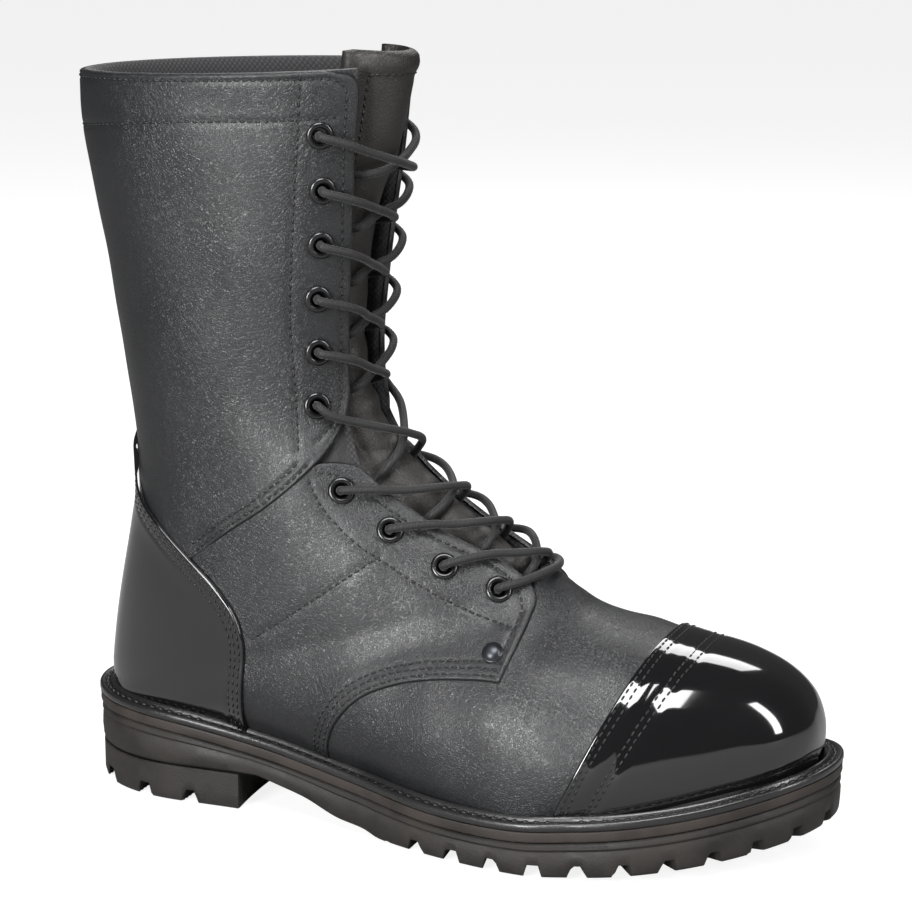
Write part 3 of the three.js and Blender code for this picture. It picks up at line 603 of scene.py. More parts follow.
def stretched(top, bottom, front, rear, rows, columns):
    """Points of a four-sided patch. top and bottom run front to rear; front and rear run downwards."""
    u, v = np.asarray(columns)[None, :, None], np.asarray(rows)[:, None, None]
    top, bottom = along_line(top, columns)[None], along_line(bottom, columns)[None]
    front, rear = along_line(front, rows)[:, None], along_line(rear, rows)[:, None]
    ends = (1 - u) * (1 - v) * top[:, :1] + u * (1 - v) * top[:, -1:]
    ends = ends + (1 - u) * v * bottom[:, :1] + u * v * bottom[:, -1:]
    return (1 - v) * top + v * bottom + (1 - u) * front + u * rear - ends


EDGE_STEPS = [0.0, 0.25, 0.6, 1.1, 1.8]


def shares_for(length, step):
    """Shares of a length, a step apart, and closer at both ends."""
    start = np.array(EDGE_STEPS)
    count = max(int((length - 2 * start[-1]) / step), 4)
    middle = np.linspace(start[-1], length - start[-1], count + 1)[1:-1]
    return np.concatenate([start, middle, length - start[::-1]]) / length


def distance_to(points, line):
    """How far each point is from a line of points."""
    shape = points.shape[:-1]
    flat = points.reshape(-1, 3)
    starts, ends = line[:-1], line[1:]
    runs = ends - starts
    lengths = np.maximum((runs ** 2).sum(1), 1e-9)
    best = np.full(len(flat), 1e9)
    for start, run, length in zip(starts, runs, lengths):
        offset = flat - start
        share = np.clip(offset @ run / length, 0, 1)
        gap = ((offset - share[:, None] * run) ** 2).sum(1)
        best = np.minimum(best, gap)
    return np.sqrt(best).reshape(shape)


def ripple(points, size, seed):
    """Slow rises and dips in leather, as a sum of waves in fixed directions. About -1 to 1."""
    chooser = np.random.default_rng(seed)
    total = np.zeros(points.shape[:-1])
    for _ in range(7):
        direction = chooser.normal(size=3)
        direction /= np.linalg.norm(direction)
        wave = 2 * math.pi / (size * chooser.uniform(0.6, 1.6))
        total += np.sin(points @ direction * wave + chooser.uniform(0, 2 * math.pi))
    return total / 4


print("edge steps", EDGE_STEPS, "mm")

# %% [markdown]
# The panel function lifts the face over whatever lies below, sinks it along its stitch lines, and rolls it
# over at its edges. It keeps the face's points, so that threads and rivets can be set on them afterwards.

# %% Cut a panel
panel_faces = {}
EYELET_CUT = 3.5


def cut_panel(name, s, t, base, thick, lifts=(), rows=(), creases=0.25, seed=1, open_sides=(), holes=()):
    """A panel over the grid s, t. lifts: (line, height, reach); rows: stitch lines that sink the face."""
    under = last_point(s, t)
    normals = last_normal(s, t)
    rear = (np.abs(t) >= 0.9999) & (s <= HEEL_KEY + 1)
    normals[rear, 1] = 0
    normals /= np.linalg.norm(normals, axis=-1, keepdims=True)
    border = {
        "top": under[0], "bottom": under[-1], "front": under[:, 0], "rear": under[:, -1],
    }
    edge = np.full(s.shape, 1e3)
    for side, line in border.items():
        if side not in open_sides:
            edge = np.minimum(edge, distance_to(under, line))
    roll = thick * 0.62
    share = np.clip(edge / roll, 0, 1)
    rolled = np.sqrt(1 - (1 - share) ** 2)
    lift = np.full(s.shape, float(base))
    for line, height, reach in lifts:
        lift = np.maximum(lift, base + height * np.exp(-(distance_to(under, line) / reach) ** 2))
    lift = lift + creases * ripple(under, 38, seed) * np.clip(edge / 12, 0, 1)
    for line in rows:
        lift = lift - 0.42 * np.exp(-(distance_to(under, line) / 1.0) ** 2)
    back = lift - thick
    face = back + 0.12 + (thick - 0.12) * rolled
    outer = under + normals * face[..., None]
    inner = under + normals * back[..., None]
    count_rows, count_columns = s.shape
    total = count_rows * count_columns
    faces = grid_faces(count_rows, count_columns)
    if len(holes):
        centres = outer.reshape(-1, 3)[np.array(faces)].mean(1)
        keep = np.ones(len(faces), bool)
        for hole in holes:
            keep &= np.linalg.norm(centres - hole, axis=1) > EYELET_CUT
        faces = [face for face, kept in zip(faces, keep) if kept]
    backs = [[i + total for i in face[::-1]] for face in faces]
    index = np.arange(total).reshape(s.shape)
    rim = np.concatenate([index[0, :-1], index[:-1, -1], index[-1, :0:-1], index[:0:-1, 0]])
    following = np.roll(rim, -1)
    walls = np.stack([following, rim, rim + total, following + total], -1).tolist()
    points = np.concatenate([outer.reshape(-1, 3), inner.reshape(-1, 3)])
    piece = new_piece(name, points, faces + backs + walls, sharp=50)
    panel_faces[name] = (outer.reshape(-1, 3), faces)
    return piece


print("eyelet holes are cut", 2 * EYELET_CUT, "mm wide, under the rings")

# %% [markdown]
# ## Stitching
#
# The boot is sewn with bonded nylon thread, about eight stitches to the inch. Seen close, each stitch is a
# short, fat, slightly sunk loop, not a line. So a stitch is a small bead of thread, and a row lays one at
# every pitch along a seam, set down on the panel's own face.

# %% Sew a row
STITCH_PITCH = 3.1
STITCH_LENGTH = 2.35
THREAD_WIDTH = 0.85
BEAD_RINGS = [
    (-0.5, 0.12, -0.25), (-0.4, 0.72, 0.02), (0.0, 1.0, 0.22), (0.4, 0.72, 0.02), (0.5, 0.12, -0.25),
]
BEAD_SIDES = 6


def sew(name, panel, lines, pitch=STITCH_PITCH, thread=THREAD_WIDTH):
    """Beads of thread along each line, on the face of a panel."""
    points, faces = panel_faces[panel]
    tree = BVHTree.FromPolygons(points.tolist(), faces)
    made_points, made_faces = [], []
    for line in lines:
        line = np.asarray(line, float)
        count = max(int(line_length(line) / pitch), 2)
        knots = even_steps(line, count + 1)
        for start, end in zip(knots[:-1], knots[1:]):
            spot, normal, _, _ = tree.find_nearest(Vector((start + end) / 2))
            if spot is None:
                continue
            spot, normal = np.array(spot), np.array(normal)
            if normal.dot(spot - np.array([spot[0] * 0.6 + 40, 0, spot[2]])) < 0:
                normal = -normal
            along = (end - start) - normal * (end - start).dot(normal)
            along /= max(np.linalg.norm(along), 1e-6)
            sideways = np.cross(normal, along)
            length = STITCH_LENGTH / STITCH_PITCH * pitch
            base = len(made_points)
            for place_along, size, rise in BEAD_RINGS:
                centre = spot + along * place_along * length + normal * rise * thread
                for k in range(BEAD_SIDES):
                    turn = 2 * math.pi * k / BEAD_SIDES
                    offset = sideways * math.cos(turn) * 0.5 + normal * math.sin(turn) * 0.38
                    made_points.append(centre + offset * size * thread)
            rings = len(BEAD_RINGS)
            made_faces += grid_faces(rings, BEAD_SIDES, start=base, wrap=True)
            made_faces.append([base + k for k in range(BEAD_SIDES)][::-1])
            made_faces.append([base + (rings - 1) * BEAD_SIDES + k for k in range(BEAD_SIDES)])
    return new_piece(name, made_points, made_faces, sharp=180, recalculate=False)


def seam_points(line, side, smooth=True):
    """A seam drawn in the side view, as points of the last on one side."""
    line = rounded(line) if smooth else np.asarray(line, float)
    s, t = locate(line[:, 0], line[:, 1])
    return last_point(s, side * t)


def beside(line, distance):
    """A line drawn in the side view, moved sideways by a distance (to its left as it is drawn)."""
    line = rounded(line)
    run = np.gradient(line, axis=0)
    run /= np.linalg.norm(run, axis=1, keepdims=True)
    return line + np.stack([-run[:, 1], run[:, 0]], -1) * distance


KEY_RISE = 27.0
TOP_CORNER_RADIUS = 9.0
LOWER_CORNER = [[4.7, 0], [5.1, 1.6], [5.45, 5], [5.83, 8.2], [5.99, 9]]


def top_corner(s, inset):
    """How far the facing's rounded top corner draws its edge back."""
    radius = TOP_CORNER_RADIUS - inset
    rise = np.clip(1 - (np.asarray(s) - inset / KEY_RISE) / (radius / KEY_RISE), 0, 1)
    return radius * (1 - np.sqrt(1 - rise**2))


def lower_corner(s):
    """How far the shaft facing's lower corner turns back towards the slanting seam."""
    s = np.asarray(s)
    return np.where((s > 4.7) & (s < 6), table(LOWER_CORNER, np.clip(s, 4.7, 5.99)), 0)


def facing_line(first, last_s, inset=0.0, count=60):
    """The edge of the lacing gap in the side view, or a line an inset behind it."""
    s = np.linspace(first, last_s, count)
    y = table(FACING_HALF_GAP, s) + inset + top_corner(s, inset) + lower_corner(s)
    return side_view(s, turn_for(s, y))


SIDES = [("lateral", -1), ("medial", 1)]
print("stitches are", STITCH_PITCH, "mm apart")

# %% [markdown]
# ## The seams
#
# These are the boot's pattern lines, drawn in the side view: the counter's front edge, the slanting seam that
# joins the shaft to the quarter, and the curved edge where the quarter laps over the vamp. Each is a few
# points with a smooth curve through them.

# %% Draw the seams
COUNTER_EDGE = [
    (25, 140), (31.2, 123), (44.1, 112.4), (57.2, 102.9), (71.2, 92.2),
    (79.7, 82.5), (83.3, 72.4), (83.4, 58), (81.4, 38), (81, 31),
]
LAP = [(58.5, 100.7), (76.7, 114.5), (92.2, 125.3), (102.6, 134.1), (108, 139.5)]
SHAFT_SEAM = [(40, 87), *LAP, (112.5, 144.5)]
QUARTER_TOP = [
    (48, 98), (76.7, 119), (92.2, 130), (103, 138.5), (110, 142), (119, 142.9), (126, 141.2), (130.8, 137.4),
]
BAND = [
    (191.7, 68.9), (183, 68.9), (161, 66.4), (146.5, 62.4),
    (134.4, 56.1), (124, 44.8), (118.5, 31.5), (117.6, 25.5),
]
QUARTER_FRONT = [(192.5, 100), (196, 95.3), (196, 88.3), (194.4, 79.4), (191.7, 68.9)]
DIAGONAL = [(86, 72.3), (110, 89.4), (138.5, 110.2)]


def feather_line(from_x, to_x, count=30):
    x = np.linspace(from_x, to_x, count)
    return np.stack([x, welt_top(x) + FEATHER_GAP + 0.05], -1)


def rear_line(from_s, to_s, count=60):
    s = np.linspace(from_s, to_s, count)
    return side_view(s, np.ones(count))


def turning(start, count):
    """Shares of a width that keep even steps on a round back, from a start near the front."""
    q = np.linspace(start, 1, count)
    shares = (math.cos(math.pi * start) - np.cos(math.pi * q)) / (math.cos(math.pi * start) + 1)
    return shares


def front_dense(shares, width):
    """Adds the close steps of an edge at the front of some shares."""
    close = np.array(EDGE_STEPS) / width
    rest = shares[shares > close[-1] * 1.3]
    return np.concatenate([close, rest])


print("counter edge runs from", COUNTER_EDGE[0], "to", COUNTER_EDGE[-1])

# %% [markdown]
# ## The shaft
#
# Two leather sides stand from the ankle to the rim. They meet at the back under a narrow backstay, and in
# front each ends in a facing with six eyelets. The lower edge is lapped over the quarter with a raised double
# row. Their rim is turned over a padded collar, which is held by one row all the way round.

# %% Cut the shaft's two sides
eyelet_points = {side: last_point(EYELET_S, side * EYELET_T) for _, side in SIDES}
COLLAR_ROW = [(3.8, 267.6), (39, 271.4), (63.5, 273.4), (101.5, 274.8), (121, 276.3)]


def shaft_rows(side):
    """Every stitch line of one side of the shaft."""
    inset = 3.6
    start = float(turn_for(0.14, table(FACING_HALF_GAP, 0.14) + TOP_CORNER_RADIUS))
    rim = side_view(np.full(70, 0.14), np.linspace(0.995, start, 70))
    front = facing_line(0.14, 5.5, inset)
    lower = [beside(SHAFT_SEAM, 2.0)[12:-4], beside(SHAFT_SEAM, 5.0)[12:-8]]
    eyelet_row = [
        (109.8, 292), (108.2, 271.7), (105.2, 241.6), (103.3, 218.6),
        (101.9, 194.7), (103.2, 166.8), (104.8, 148),
    ]
    lines = [np.vstack([rim, front]), rounded(COLLAR_ROW), rounded(eyelet_row)] + lower
    return [seam_points(line, side, smooth=False) for line in lines]


shaft_lines = {side: shaft_rows(side) for _, side in SIDES}
for label, side in SIDES:
    start = float(turn_for(0, table(FACING_HALF_GAP, 0) + TOP_CORNER_RADIUS))
    top = side_view(np.zeros(80), np.linspace(start, 1, 80))
    front = facing_line(0, 5.83)
    rear = rear_line(0, 7.6)
    bottom = rounded([tuple(front[-1]), *LAP[::-1], (36, 84), tuple(rear[-1])])
    columns = front_dense(turning(0.16, 96), 120)
    grid = stretched(top, bottom, front, rear, shares_for(215, 1.4), columns)
    s, t = locate(grid[..., 0], grid[..., 1])
    seam = seam_points(SHAFT_SEAM[2:], side)
    cut_panel(
        f"shaft_{label}_leather", s, side * t, 0.35, 1.9, lifts=[(seam, 1.5, 9)], rows=shaft_lines[side],
        creases=0.5, seed=11, open_sides=("rear",), holes=eyelet_points[side][:6],
    )
    sew(f"shaft_{label}_stitching", f"shaft_{label}_leather", shaft_lines[side])
print("shaft rows on each side", len(shaft_lines[-1]))

# %% [markdown]
# ## The quarter
#
# The quarter wraps the ankle and the side of the foot, and carries the four lower eyelets. Its curved front
# edge is the boot's most visible seam: three close rows over the vamp, ending under a rivet where the laces
# pull hardest.

# %% Cut the quarters
def quarter_rows(side):
    band = [beside(BAND, -distance)[2:] for distance in (1.7, 4.0, 6.3)]
    facing = facing_line(6.6, 9.45, 3.6)
    corner = rounded([tuple(facing[-1]), (191.8, 93.5), (191.8, 88), (189.6, 76)])
    upper = np.vstack([rounded([(112, 140.4), (119.5, 139.4), tuple(facing[0])]), facing, corner])
    lower = rounded([
        (108.8, 138.5), (113.5, 129.5), (122, 120), (132, 112.3), (138.9, 108.5),
        (149.4, 102.3), (164.4, 94.9), (178.2, 89.6), (191, 86),
    ])
    lines = band + [upper, lower, rounded(DIAGONAL)]
    return [seam_points(line, side, smooth=False) for line in lines]


quarter_lines = {side: quarter_rows(side) for _, side in SIDES}
RIVET_SPOT = (186.2, 78)
for label, side in SIDES:
    facing = facing_line(6.33, 9.7)
    top = rounded(QUARTER_TOP)[::-1]
    front_edge = rounded(QUARTER_FRONT)
    front = np.vstack([facing, front_edge])
    bottom = np.vstack([rounded(BAND)[1:], feather_line(117, 73)])
    rear = rounded([(48, 101), (62, 85), (70, 75), (73, 66), (73, 47), (73, float(welt_top(73)) + 0.4)])
    top_and_front = np.vstack([front_edge[0][None], facing[::-1], top])
    grid = stretched(top_and_front, bottom, front_edge, rear, shares_for(78, 1.3), shares_for(190, 1.3))
    s, t = locate(grid[..., 0], grid[..., 1])
    band_edge = seam_points(BAND, side)
    front_line = seam_points(QUARTER_FRONT, side)
    cut_panel(
        f"quarter_{label}_leather", s, side * t, 0.3, 1.9,
        lifts=[(band_edge, 1.35, 9), (front_line, 1.35, 9)], rows=quarter_lines[side],
        creases=0.55, seed=23, holes=eyelet_points[side][6:],
    )
    sew(f"quarter_{label}_stitching", f"quarter_{label}_leather", quarter_lines[side])
print("quarter rows on each side", len(quarter_lines[-1]))

# %% [markdown]
# ## The heel counter
#
# A stiff patent counter cups the heel. It is one piece of leather round both sides, so it is made as one
# grid that goes from the outer front edge round the back to the inner one. Three rows hold its front edge,
# which is turned under and stands proud.

# %% Cut the counter
counter_rows = {}
halves = []
for label, side in SIDES:
    rear_top = last_point(5.28, 1)[[0, 2]]
    top = rounded([COUNTER_EDGE[0], (21.5, 147), tuple(rear_top)])
    rear = rear_line(5.28, HEEL_KEY + 1)
    bottom = feather_line(COUNTER_EDGE[-1][0], 8.05)
    front = rounded(COUNTER_EDGE)
    columns = front_dense(turning(0.36, 62), 80)
    grid = stretched(top, bottom, front, rear, shares_for(120, 1.5), columns)
    s, t = locate(grid[..., 0], grid[..., 1])
    t[:, -1] = 1
    halves.append((s, side * t))
    counter_rows[side] = [
        seam_points(beside(COUNTER_EDGE, distance)[4:-3], side, smooth=False)
        for distance in (-1.9, -3.9, -6.3)
    ]
(lateral_s, lateral_t), (medial_s, medial_t) = halves
counter_s = np.concatenate([lateral_s, medial_s[:, -2::-1]], 1)
counter_t = np.concatenate([lateral_t, medial_t[:, -2::-1]], 1)
edges = [seam_points(COUNTER_EDGE, side) for _, side in SIDES]
cut_panel(
    "heel_counter_patent", counter_s, counter_t, 1.0, 1.8, lifts=[(edge, 1.5, 7) for edge in edges],
    rows=counter_rows[-1] + counter_rows[1], creases=0.1, seed=5, open_sides=("bottom",),
)
sew("heel_counter_stitching", "heel_counter_patent", counter_rows[-1] + counter_rows[1])
print("counter grid", counter_s.shape)

# %% [markdown]
# ## The vamp and the toe cap
#
# The vamp covers the forefoot in one piece, from feather to feather, and slips under the quarters and the
# cap. The cap is a second layer of patent leather over it with two double rows at its edge. Both cross the
# ridge, so they are stretched between lines of s and t instead of lines of the side view.

# %% Cut the vamp and the cap
def to_last(line, side):
    line = rounded(line)
    s, t = locate(line[:, 0], line[:, 1])
    return np.stack([s, side * t], -1)


VAMP_BACK = [
    (107, 27.2), (109, 38), (114, 49), (124, 59), (138, 67), (156, 73), (174, 77), (186, 82), (189, 91),
]
THROAT = [(9.86, 11.8), (9.5, 6), (9.45, 0), (9.5, -6), (9.86, -11.8)]
VAMP_FRONT_KEY = CAP_KEY + 0.35
throat = np.array([(s, float(turn_for(s, y))) for s, y in THROAT])
medial_back, lateral_back = to_last(VAMP_BACK, 1), to_last(VAMP_BACK, -1)
vamp_top = np.vstack([lateral_back, throat[::-1], medial_back[::-1]])
vamp_bottom = np.stack([np.full(120, VAMP_FRONT_KEY), np.linspace(-1, 1, 120)], -1)
start_s = lateral_back[0, 0]
side_edge = np.stack([np.linspace(start_s, VAMP_FRONT_KEY, 60), np.full(60, 1.0)], -1)
vamp_grid = stretched(
    vamp_top * [0.07, 1], vamp_bottom * [0.07, 1], side_edge * [0.07, -1], side_edge * [0.07, 1],
    shares_for(100, 1.3), shares_for(190, 1.3),
) / [0.07, 1]
vamp_s, vamp_t = vamp_grid[..., 0], np.clip(vamp_grid[..., 1], -1, 1)
cut_panel(
    "vamp_leather", vamp_s, vamp_t, 0.0, 1.8, creases=0.5, seed=31, open_sides=("front", "rear", "bottom"),
)

cap_s = CAP_KEY + (22.97 - CAP_KEY) * shares_for(88, 1.3)
cap_s, cap_t = np.meshgrid(cap_s, np.linspace(-1, 1, 131), indexing="ij")
cap_edge = last_point(np.full(80, CAP_KEY), np.linspace(-1, 1, 80))


def cap_row(distance):
    """A line across the cap, a distance ahead of its edge."""
    t = np.linspace(-0.985, 0.985, 90)
    step = np.linalg.norm(last_point(CAP_KEY + 0.1, t) - last_point(CAP_KEY, t), axis=-1) / 0.1
    return last_point(CAP_KEY + distance / step, t)


cap_lines = [cap_row(distance) for distance in (1.9, 4.2, 11.8, 14.1)]
cut_panel(
    "toe_cap_patent", cap_s, cap_t, 1.0, 1.8, lifts=[(cap_edge, 0.7, 6)], rows=cap_lines,
    creases=0.12, seed=7, open_sides=("front", "rear", "bottom"),
)
sew("toe_cap_stitching", "toe_cap_patent", cap_lines)
print("vamp grid", vamp_s.shape, "cap grid", cap_s.shape)

# %% [markdown]
# ## The backstay
#
# A thin strip covers the rear seam of the shaft, from the collar down to the counter, with a row at each
# edge.

# %% Cut the backstay
BACKSTAY_HALF = 4.2
stay_s = 0.05 + 5.9 * shares_for(150, 1.8)
stay_shares = np.array([-1, -0.92, -0.8, -0.5, -0.2, 0, 0.2, 0.5, 0.8, 0.92, 1])
backstay_s, backstay_w = np.meshgrid(stay_s, stay_shares, indexing="ij")


def rear_turn(s, y):
    """t of the points near the rear line, at a distance y from the middle. It goes on past 1."""
    parts = section(s)
    angle = np.arcsin(np.clip(np.abs(y) / parts[4], 0, 0.98) ** (1 / parts[6]))
    return np.where(np.asarray(y) < 0, 1 + angle / math.pi, 1 - angle / math.pi)


backstay_t = rear_turn(backstay_s, BACKSTAY_HALF * backstay_w)
backstay_rows = [
    last_point(np.linspace(0.2, 5.0, 90), rear_turn(np.linspace(0.2, 5.0, 90), BACKSTAY_HALF * share))
    for share in (-0.62, 0.62)
]
cut_panel("backstay_leather", backstay_s, backstay_t, 1.0, 1.2, rows=backstay_rows, creases=0.05, seed=3)
sew("backstay_stitching", "backstay_leather", backstay_rows)
print("backstay", 2 * BACKSTAY_HALF, "mm wide")

# %% [markdown]
# ## The tongue
#
# The tongue is a soft padded leaf under the lace. It is fixed at the throat and free at its top, where the
# wearer folds it back to put the boot on. Its crown stands up between the facings, and its leather creases
# where the ankle bends.

# %% Make the tongue
TONGUE_HALF = [[0, 27], [5, 26], [7, 24], [9, 20], [10.8, 18]]
TONGUE_SPAN = (-0.15, 10.7)


def tongue_point(s, share, extra):
    y = table(TONGUE_HALF, s) * share
    return across(s, y + 1e-4, tongue_depth(s, y) + extra)


def crossing_creases(s, share):
    """Creases across the tongue, deeper between the lower eyelets."""
    strength = np.clip((s - 2.2) / 3, 0, 1) * np.clip((10.9 - s) / 1.5, 0, 1)
    wave = np.sin(s * 7.9 + 0.9 * np.sin(share * 2.3)) + 0.5 * np.sin(s * 14.3 + share * 3.1)
    return 0.75 * strength * wave * (1 - share ** 2)


tongue_rows = TONGUE_SPAN[0] + (TONGUE_SPAN[1] - TONGUE_SPAN[0]) * shares_for(300, 1.8)
tongue_shares = 2 * shares_for(52, 1.5) - 1
tongue_s, tongue_w = np.meshgrid(tongue_rows, tongue_shares, indexing="ij")
crown_face = tongue_point(tongue_s, tongue_w, 0.0)
rim_lines = [crown_face[0], crown_face[:, 0], crown_face[:, -1]]
rim_gap = np.min([distance_to(crown_face, line) for line in rim_lines], axis=0)
rolled = np.sqrt(1 - (1 - np.clip(rim_gap / 2.2, 0, 1)) ** 2)
pad = 0.9 * np.exp(-((rim_gap - 5.0) / 3.6) ** 2) - 0.5 * np.exp(-((rim_gap - 9.5) / 1.2) ** 2)
face_out = (TONGUE_THICK + 0.5) * rolled + pad * np.clip(rim_gap / 2, 0, 1)
face_out = face_out + crossing_creases(tongue_s, tongue_w)
face_out = face_out + 0.35 * ripple(crown_face, 26, 4)
front_points = tongue_point(tongue_s, tongue_w, TONGUE_THICK - face_out)
back_points = tongue_point(tongue_s, tongue_w, TONGUE_THICK + 0.4 * rolled)
rows_count, columns_count = tongue_s.shape
total = rows_count * columns_count
front_faces = grid_faces(rows_count, columns_count)
back_faces = [[i + total for i in face[::-1]] for face in front_faces]
index = np.arange(total).reshape(tongue_s.shape)
rim = np.concatenate([index[0, :-1], index[:-1, -1], index[-1, :0:-1], index[:0:-1, 0]])
walls = np.stack([np.roll(rim, -1), rim, rim + total, np.roll(rim, -1) + total], -1).tolist()
new_piece(
    "tongue", np.concatenate([front_points.reshape(-1, 3), back_points.reshape(-1, 3)]),
    front_faces + back_faces + walls, sharp=60,
)
panel_faces["tongue"] = (front_points.reshape(-1, 3), front_faces)
border_s = np.concatenate([np.linspace(3.2, 0.16, 60), np.full(30, 0.16), np.linspace(0.16, 3.2, 60)])
border_w = np.concatenate([np.full(60, -0.66), np.linspace(-0.66, 0.66, 30), np.full(60, 0.66)])
tongue_border = tongue_point(border_s, border_w, 0.0)
sew("tongue_stitching", "tongue", [tongue_border])
print("tongue", rows_count, "by", columns_count, "points")

# %% [markdown]
# The tongue is joined to the facings by gussets, thin folded leather webs that keep water and grit out. Only
# their dark folds are seen, deep between the tongue and the shaft.

# %% Fold the gussets
gusset_s, gusset_v = np.meshgrid(1.3 + 4.2 * shares_for(85, 1.6), shares_for(9, 0.7), indexing="ij")
gussets = {}
for label, side in SIDES:
    y = side * (table(TONGUE_HALF, gusset_s) + 0.8 + 6 * gusset_v)
    fold = 1.3 * np.sin(gusset_v * math.pi * 3) + 0.5 * np.sin(gusset_s * 9)
    outer = across(gusset_s, y, 10.4 - 4.2 * gusset_v + fold * 0.5)
    inner = across(gusset_s, y, 11.4 - 4.2 * gusset_v + fold * 0.5)
    total = gusset_s.size
    faces = grid_faces(*gusset_s.shape)
    faces += [[i + total for i in face[::-1]] for face in faces]
    index = np.arange(total).reshape(gusset_s.shape)
    rim = np.concatenate([index[0, :-1], index[:-1, -1], index[-1, :0:-1], index[:0:-1, 0]])
    faces += np.stack([np.roll(rim, -1), rim, rim + total, np.roll(rim, -1) + total], -1).tolist()
    points = np.concatenate([outer.reshape(-1, 3), inner.reshape(-1, 3)])
    gussets[label] = new_piece(f"gusset_{label}_fold", points, faces)
print("gussets", list(gussets))

# %% [markdown]
# ## Linings and the padded collar
#
# Inside, each side has a lining of knitted fabric over thin foam. Along the rim and the lacing gap the foam
# swells and closes against the leather, so the edge reads as one thick, soft, turned edge.

# %% Line the shaft
LINING_TOP, LINING_BOTTOM = 4.2, 5.1
linings = {}
for label, side in SIDES:
    s, q = np.meshgrid(0.012 + 9.9 * shares_for(300, 2.6), shares_for(112, 2.2), indexing="ij")
    start = facing_turn(s) + 0.004
    t = start + (0.9995 - start) * q
    face = last_point(s, side * t)
    normals = last_normal(s, side * t)
    rear = t > 0.985
    normals[rear, 1] *= 0.1
    normals /= np.linalg.norm(normals, axis=-1, keepdims=True)
    gap = np.minimum(distance_to(face, face[0]), distance_to(face, face[:, 0]))
    swell = np.exp(-(gap / 3.2) ** 2)
    collar = np.clip(1 - gap / 26, 0, 1) ** 0.6
    outer_depth = LINING_TOP - 2.5 * swell
    padding = 0.9 * collar * np.clip(gap / 2.5, 0, 1) ** 0.5
    inner_depth = LINING_BOTTOM + padding - 1.1 * np.exp(-(gap / 1.1) ** 2)
    inner_depth = inner_depth + 0.3 * ripple(face, 30, 9)
    outer = face - normals * outer_depth[..., None]
    inner = face - normals * inner_depth[..., None]
    total = s.size
    faces = grid_faces(*s.shape)
    centres = inner.reshape(-1, 3)[np.array(faces)].mean(1)
    keep = np.ones(len(faces), bool)
    for spot in eyelet_points[side]:
        keep &= np.linalg.norm(centres - spot, axis=1) > 6.6
    faces = [face_index for face_index, kept in zip(faces, keep) if kept]
    faces += [[i + total for i in corner[::-1]] for corner in faces]
    index = np.arange(total).reshape(s.shape)
    rim = np.concatenate([index[0, :-1], index[:-1, -1], index[-1, :0:-1], index[:0:-1, 0]])
    faces += np.stack([np.roll(rim, -1), rim, rim + total, np.roll(rim, -1) + total], -1).tolist()
    points = np.concatenate([outer.reshape(-1, 3), inner.reshape(-1, 3)])
    linings[label] = new_piece(f"lining_{label}_fabric", points, faces, sharp=60)
print("linings", list(linings))

# %% [markdown]
# ## Eyelets and rivets
#
# The eyelets are brass, lacquered black, with a rolled collar on the face and a barrel through the leather.
# Each one is a profile turned round its own axis. The rivet at the foot of each facing is a low dome on a
# thin flange.

# %% Set the eyelets
EYELET_SEGMENTS = 36
EYELET_PROFILE = [
    (2.72, -5.8), (4.0, -5.8), (4.0, -5.4), (3.05, -5.3), (3.05, 0.1), (4.9, 0.2), (5.2, 0.45), (5.25, 0.8),
    (5.1, 1.15), (4.7, 1.5), (4.2, 1.68), (3.7, 1.66), (3.2, 1.45), (2.9, 1.1), (2.74, 0.6), (2.72, 0.0),
]
eyelets = []
for label, side in SIDES:
    normals = last_normal(EYELET_S, side * EYELET_T)
    for i, (centre, normal) in enumerate(zip(eyelet_points[side], normals)):
        points = turned_points(EYELET_PROFILE, centre, normal, EYELET_SEGMENTS)
        count = len(EYELET_PROFILE)
        faces = grid_faces(count, EYELET_SEGMENTS, wrap=True)
        join = [[(count - 1) * EYELET_SEGMENTS + k, (count - 1) * EYELET_SEGMENTS + (k + 1) % EYELET_SEGMENTS,
                 (k + 1) % EYELET_SEGMENTS, k] for k in range(EYELET_SEGMENTS)]
        ring = new_piece(f"eyelet_ring_{label}_{i + 1}", points, faces + join, sharp=60)
        eyelets.append((ring, f"eyelet_{label}_{i + 1}"))
print("eyelets", len(eyelets))

# %% Set the rivets
RIVET_PROFILE = [
    (1.4, -2.4), (1.4, 0.3), (3.9, 0.3), (4.15, 0.5), (4.1, 0.75), (3.75, 0.9), (3.5, 1.25), (2.9, 1.9),
    (2.0, 2.3), (1.0, 2.5), (0.25, 2.54),
]
rivets = {}
for label, side in SIDES:
    s, t = locate(*RIVET_SPOT)
    normal = last_normal(s, side * t)
    points = turned_points(RIVET_PROFILE, last_point(s, side * t) + normal * 0.9, normal, 32)
    faces = grid_faces(len(RIVET_PROFILE), 32, wrap=True)
    faces += [list(range(32))[::-1], list(range((len(RIVET_PROFILE) - 1) * 32, len(RIVET_PROFILE) * 32))]
    rivets[label] = new_piece(f"facing_rivet_{label}", points, faces)
print("rivets", list(rivets))

# %% [markdown]
# ## The welt
#
# The welt is a leather strip sewn to the upper's feather and then, through its outer edge, to the midsole.
# It has a rounded bead against the upper, a channel for the heavy lockstitch, and a trimmed edge. Its section
# is the same all round, so it is one profile swept along the sole's outline.

# %% Walk round the sole
OUTLINE_STEPS = 330


def outline(inset):
    """The sole's outline, an inset inside its edge: heel to toe on the outer side and back on the inner."""
    q = np.linspace(0, 1, OUTLINE_STEPS)
    x = inset + (SOLE_LENGTH - 2 * inset) * (1 - np.cos(math.pi * q)) / 2
    reach = half_width(x, inset)
    middle = table(SOLE_MIDDLE, x)
    outer = np.stack([x, middle - reach], -1)
    inner = np.stack([x, middle + reach], -1)
    return np.vstack([outer, inner[-2:0:-1]])


